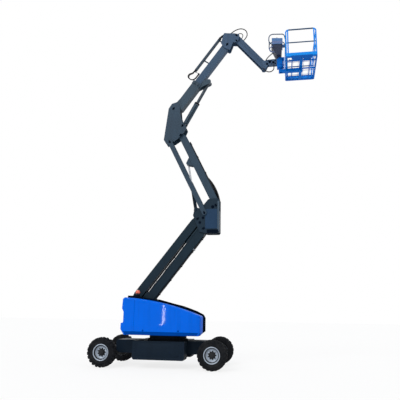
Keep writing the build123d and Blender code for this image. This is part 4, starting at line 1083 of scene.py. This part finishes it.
# control hose from the mount's top to the control box, both ends given from the mount's pivot
railsLow, railsHigh = corners("platform_rails")
floorLow, floorHigh = corners("platform_floor")
boxX, _, boxZ = np.array([railsLow[0] - 0.350, 0.0, floorLow[2] + 0.640]) - mountPivot
jointHose("controlHose", 0.032, mountPivot,
          [(0.080, -0.100, 0.070), (0.120, -0.120, 0.130), (boxX * 0.5 + 0.05, -0.135, boxZ * 0.5 + 0.05),
           (boxX - 0.04, -0.135, boxZ - 0.06), (boxX, -0.130, boxZ)])
# hoses from the carrier's upper end into the head
headPivot = pivot("head_level")
for number, y in enumerate((-0.060, -0.020, 0.020)):
    bends = ((2.92, 0.285), (3.04, 0.286), (3.135, 0.262 - 0.006 * number), (3.205, 0.180), (3.225, 0.075))
    route = [onBoom(pivot("boom_lift"), anglesAtRest["boom"], a, t, y) - headPivot for a, t in bends]
    jointHose("headHose%d" % number, 0.030, headPivot, route)
print("stage: loops")

# elbow, from the riser's upper head: a layer on each side is piece, x, z, thickness, finish
elbowFace = 0.180
elbowLayers = [("elbowPanels", (0.240, 0.625), (-0.320, 0.305), 0.006, "panelBlue"),
               # a lighter strip at each side's right end: painted light of the elbow's lit end face
               ("elbowLitStrips", (0.630, 0.689), (-0.400, 0.560), 0.005, "stripLitGrey"),
               # a dark band low on each side: painted shade from the elbow's underside
               ("elbowUndersideShade", (0.300, 0.660), (-0.468, -0.350), 0.008, "turntableBlack")]
elbowBosses = ((0.176, 0.025), (0.075, -0.120))
# the hole: a dark shallow disc, painted shade inside it
elbowHoleShade = (0.480, 0.372)
bossLine = [(0.040, 0.0), (0.040, 0.010), (0.028, 0.014), (0.0, 0.014)]
barrelCapLine = [(0.046, 0.0), (0.046, 0.004), (0.0, 0.004)]
holeShadeLine = [(0.052, 0.0), (0.052, 0.004), (0.044, 0.004), (0.040, 0.0015), (0.0, 0.0015)]


def makeElbow(origin):
    for name, (x0, x1), (z0, z1), thick, finish in elbowLayers:
        xs, zs = (origin[0] + x0, origin[0] + x1), (origin[2] + z0, origin[2] + z1)
        layers = [slab(sign, elbowFace, thick, xs, zs, 0.003, 1) for sign in (-1, 1)]
        makePiece(name, layers, finish, "elbow")
    discs = [(bossLine, origin[0] + x, origin[2] + z, 28) for x, z in elbowBosses]
    discs.append((barrelCapLine, *pivot("mid_barrel_turn")[::2], 32))
    # the hole's dark disc is painted shade
    holeShade = (holeShadeLine, origin[0] + elbowHoleShade[0], origin[2] + elbowHoleShade[1], 32)
    bosses = [turned(line, (x, sign * elbowFace, z), (0, sign, 0), steps)
              for group in (discs, [holeShade]) for sign in (-1, 1) for line, x, z, steps in group]
    makePiece("elbowBosses", bosses, "turntableBlack", "elbow", 35.0)


makeElbow(riserUpperHead)
print("stage: elbow")

# platform: places are from the rails' corners; a skirt is its middle from the rails' middle, half width
platformValues = {"tube": 0.021, "postStep": 0.062, "corner": 0.090, "midRail": 0.459, "gateDrop": 0.20,
                  "skirts": ((-0.155, 0.165), (0.175, 0.165)), "skirtDrop": 0.030, "skirtArc": 0.125,
                  "barCount": 6}


def makePlatform(v):
    low, high, r = railsLow, railsHigh, v["tube"]
    x0, y0 = low[:2] + r
    x1, y1, top = high - r
    middle = top - v["midRail"]
    sleeves, posts = [], []
    for y in (y0, y1):
        sleeves.append(bar([(x0 + v["corner"], y, top), (x1 - v["corner"], y, top)], r + 0.0012, 14))
        sleeves.append(bar([(x0 + r, y, middle), (x1 - r, y, middle)], r - 0.0028, 14))
        for x in (x0 + v["postStep"], x1 - v["postStep"]):
            posts.append(bar([(x, y, low[2] + 0.04), (x, y, top - 0.010)], r, 14))
    makePiece("railSleeves", sleeves, "railSlate", "platform", 60.0)
    makePiece("railPosts", posts, "platformBlue", "platform", 60.0)
    # curved skirts below the toe board: depth = drop + arc * sine ** 0.8 across the width
    skirts = []
    for shift, half in v["skirts"]:
        centre, rim = (x0 + x1) / 2 + shift, low[2] + 0.010
        arc = [(centre - half * math.cos(a), low[2] - v["skirtDrop"] - v["skirtArc"] * math.sin(a) ** 0.8)
               for a in np.linspace(0, np.pi, 17)]
        outline = [(centre - half, rim)] + arc + [(centre + half, rim)]
        skirts.append(plate(outline[::-1], low[1] - 0.003, low[1] + 0.009, 0.002))
    makePiece("toeSkirts", skirts, "deepBlue", "platform", 35.0)
    # floor of crossed flat bars
    z = floorHigh[2] - 0.006
    barX, barY = (floorLow[0] + 0.05, floorHigh[0] - 0.05), (floorLow[1] + 0.05, floorHigh[1] - 0.05)
    bars = [block((x - 0.004, barY[0], z - 0.020), (x + 0.004, barY[1], z), 0.001, 1)
            for x in np.linspace(floorLow[0] + 0.06, floorHigh[0] - 0.06, v["barCount"])]
    bars += [block((barX[0], y - 0.003, z - 0.016), (barX[1], y + 0.003, z - 0.002), 0.001, 1)
             for y in np.linspace(floorLow[1] + 0.08, floorHigh[1] - 0.08, v["barCount"])]
    makePiece("floorBars", bars, "deepBlue", "platform")
    # gate: a drop bar with two hinge lugs on the far long side
    z = top - v["gateDrop"]
    gate = [bar([(x0 + 0.16, y1, z), (x1 - 0.16, y1, z)], 0.014, 12)]
    gate += [block((x - 0.020, y1 - 0.022, z - 0.025), (x + 0.020, y1 + 0.022, z + 0.025), 0.005)
             for x in (x0 + 0.15, x1 - 0.15)]
    makePiece("gateBar", gate, "railSlate", "platform", 60.0)


# controls, in (x, z) from the rails' low x and the floor's underside; the desk slopes down to the basket
controlValues = {
    "housing": [(-0.447, 0.868), (-0.097, 0.858), (-0.112, 0.540), (-0.148, 0.472), (-0.267, 0.472),
                (-0.332, 0.560), (-0.403, 0.722)], "housingHalf": 0.1925,
    "band": [(-0.428, 0.885), (-0.072, 0.872), (-0.071, 0.965), (-0.428, 0.985)], "bandHalf": 0.213,
    "guard": [(0.02, 0.975), (-0.02, 1.185), (-0.440, 1.215), (-0.520, 1.140), (-0.525, 0.930),
              (-0.440, 0.850)],
    "guardHalf": 0.24, "cross": (-0.522, 1.03),
    "frame": [(-0.385, 0.790), (-0.500, 0.745), (-0.500, 0.600), (-0.350, 0.560)], "frameY": -0.205,
    "desk": (-0.425, 1.093), "slope": -0.031 / 0.355,
    "stick": [(0.030, 0.0), (0.028, 0.010), (0.021, 0.014), (0.024, 0.020), (0.015, 0.028), (0.007, 0.034),
              (0.006, 0.044), (0.013, 0.048), (0.015, 0.062), (0.010, 0.070), (0.0, 0.071)],
    "knob": [(0.008, 0.0), (0.008, 0.006), (0.003, 0.008), (0.003, 0.022), (0.0, 0.023)],
    "stop": [(0.012, 0.0), (0.012, 0.018), (0.024, 0.020), (0.026, 0.032), (0.018, 0.038), (0.0, 0.039)]}


def makeControls(v):
    baseX, baseZ = railsLow[0], floorLow[2]

    def housing(line, half):
        return plate([(baseX + x, baseZ + z) for x, z in line], -half, half, 0.004)

    def tube(line, y, radius, bend, sides):
        path = rounded([(baseX + x, y, baseZ + z) for x, z in line], bend, 6)
        return bar(path, radius, sides)

    # a turned control on the desk, whose height = desk + slope * way along it
    def onDesk(line, x, y, steps):
        height = v["desk"][1] + (x - v["desk"][0]) * v["slope"]
        return turned(line, (baseX + x, y, baseZ + height), (0, 0, 1), steps)

    makePiece("controlHousing", [housing(v["housing"], v["housingHalf"])], "housingDark", "platform")
    makePiece("controlBand", [housing(v["band"], v["bandHalf"])], "bandViolet", "platform")
    # guard: two hoops from the basket's rail round the box, joined by a cross tube
    half = v["guardHalf"]
    hoops = [tube(v["guard"], y, 0.016, 0.06, 12) for y in (-half, half)]
    crossX, crossZ = baseX + v["cross"][0], baseZ + v["cross"][1]
    hoops.append(bar([(crossX, -half, crossZ), (crossX, half, crossZ)], 0.010, 12, (1.0, 0.0, 0.0)))
    makePiece("controlGuard", hoops, "railSlate", "platform", 60.0)
    frameTube = tube(v["frame"], v["frameY"], 0.016, 0.05, 10)
    makePiece("controlFrame", [frameTube], "bandViolet", "platform", 60.0)
    # desk: two joysticks with boots, seven switches in a row and a stop button
    desk = [onDesk(v["stick"], -0.25, y, 24) for y in (-0.13, 0.13)]
    desk += [onDesk(v["knob"], -0.15, y, 16) for y in np.linspace(-0.12, 0.12, 7)]
    makePiece("controlSticks", desk, "panelBlack", "platform", 40.0)
    makePiece("controlStop", [onDesk(v["stop"], -0.33, 0.0, 28)], "stopRed", "platform", 40.0)


# mount, from its pivot: bosses are x, z, radius; plates are x, z, half width, half height; then the bands
mountValues = {
    "side": 0.087, "bands": (0.10, 0.20, 0.36),
    "bosses": ((0.115, -0.060, 0.036), (0.205, 0.010, 0.045), (0.325, -0.020, 0.040), (0.385, 0.045, 0.022),
               (0.385, -0.060, 0.022)),
    "plates": ((0.262, 0.058, 0.022, 0.028), (0.262, -0.058, 0.022, 0.020), (0.155, 0.052, 0.030, 0.018)),
    "bandLine": [(0.083, -0.012), (0.090, -0.010), (0.090, 0.010), (0.083, 0.012)]}


def makeMount(v):
    baseX, _, baseZ = mountPivot
    bosses, plates = [], []
    for sign in (-1, 1):
        for x, z, r in v["bosses"]:
            line = [(r, 0.0), (r, 0.012), (r * 0.7, 0.016), (0.0, 0.016)]
            bosses.append(turned(line, (baseX + x, sign * v["side"], baseZ + z), (0, sign, 0), 28))
        for x, z, w, h in v["plates"]:
            plates.append(slab(sign, v["side"], 0.010, (baseX + x - w, baseX + x + w),
                               (baseZ + z - h, baseZ + z + h), 0.003, 1))
    makePiece("mountBosses", bosses, "turntableBlack", "jib_mount", 35.0)
    makePiece("mountPlates", plates, "panelBlue", "jib_mount")
    turnX, low = pivot("platform_turn")[0], corners("rotator")[0][2]
    bands = [turned(v["bandLine"], (turnX, 0.0, low + h), (0, 0, 1), 40, closed=True) for h in v["bands"]]
    makePiece("rotatorBands", bands, "deepBlue", "jib_mount", 35.0)


makePlatform(platformValues)
makeControls(controlValues)
makeMount(mountValues)
print("stage: platform")
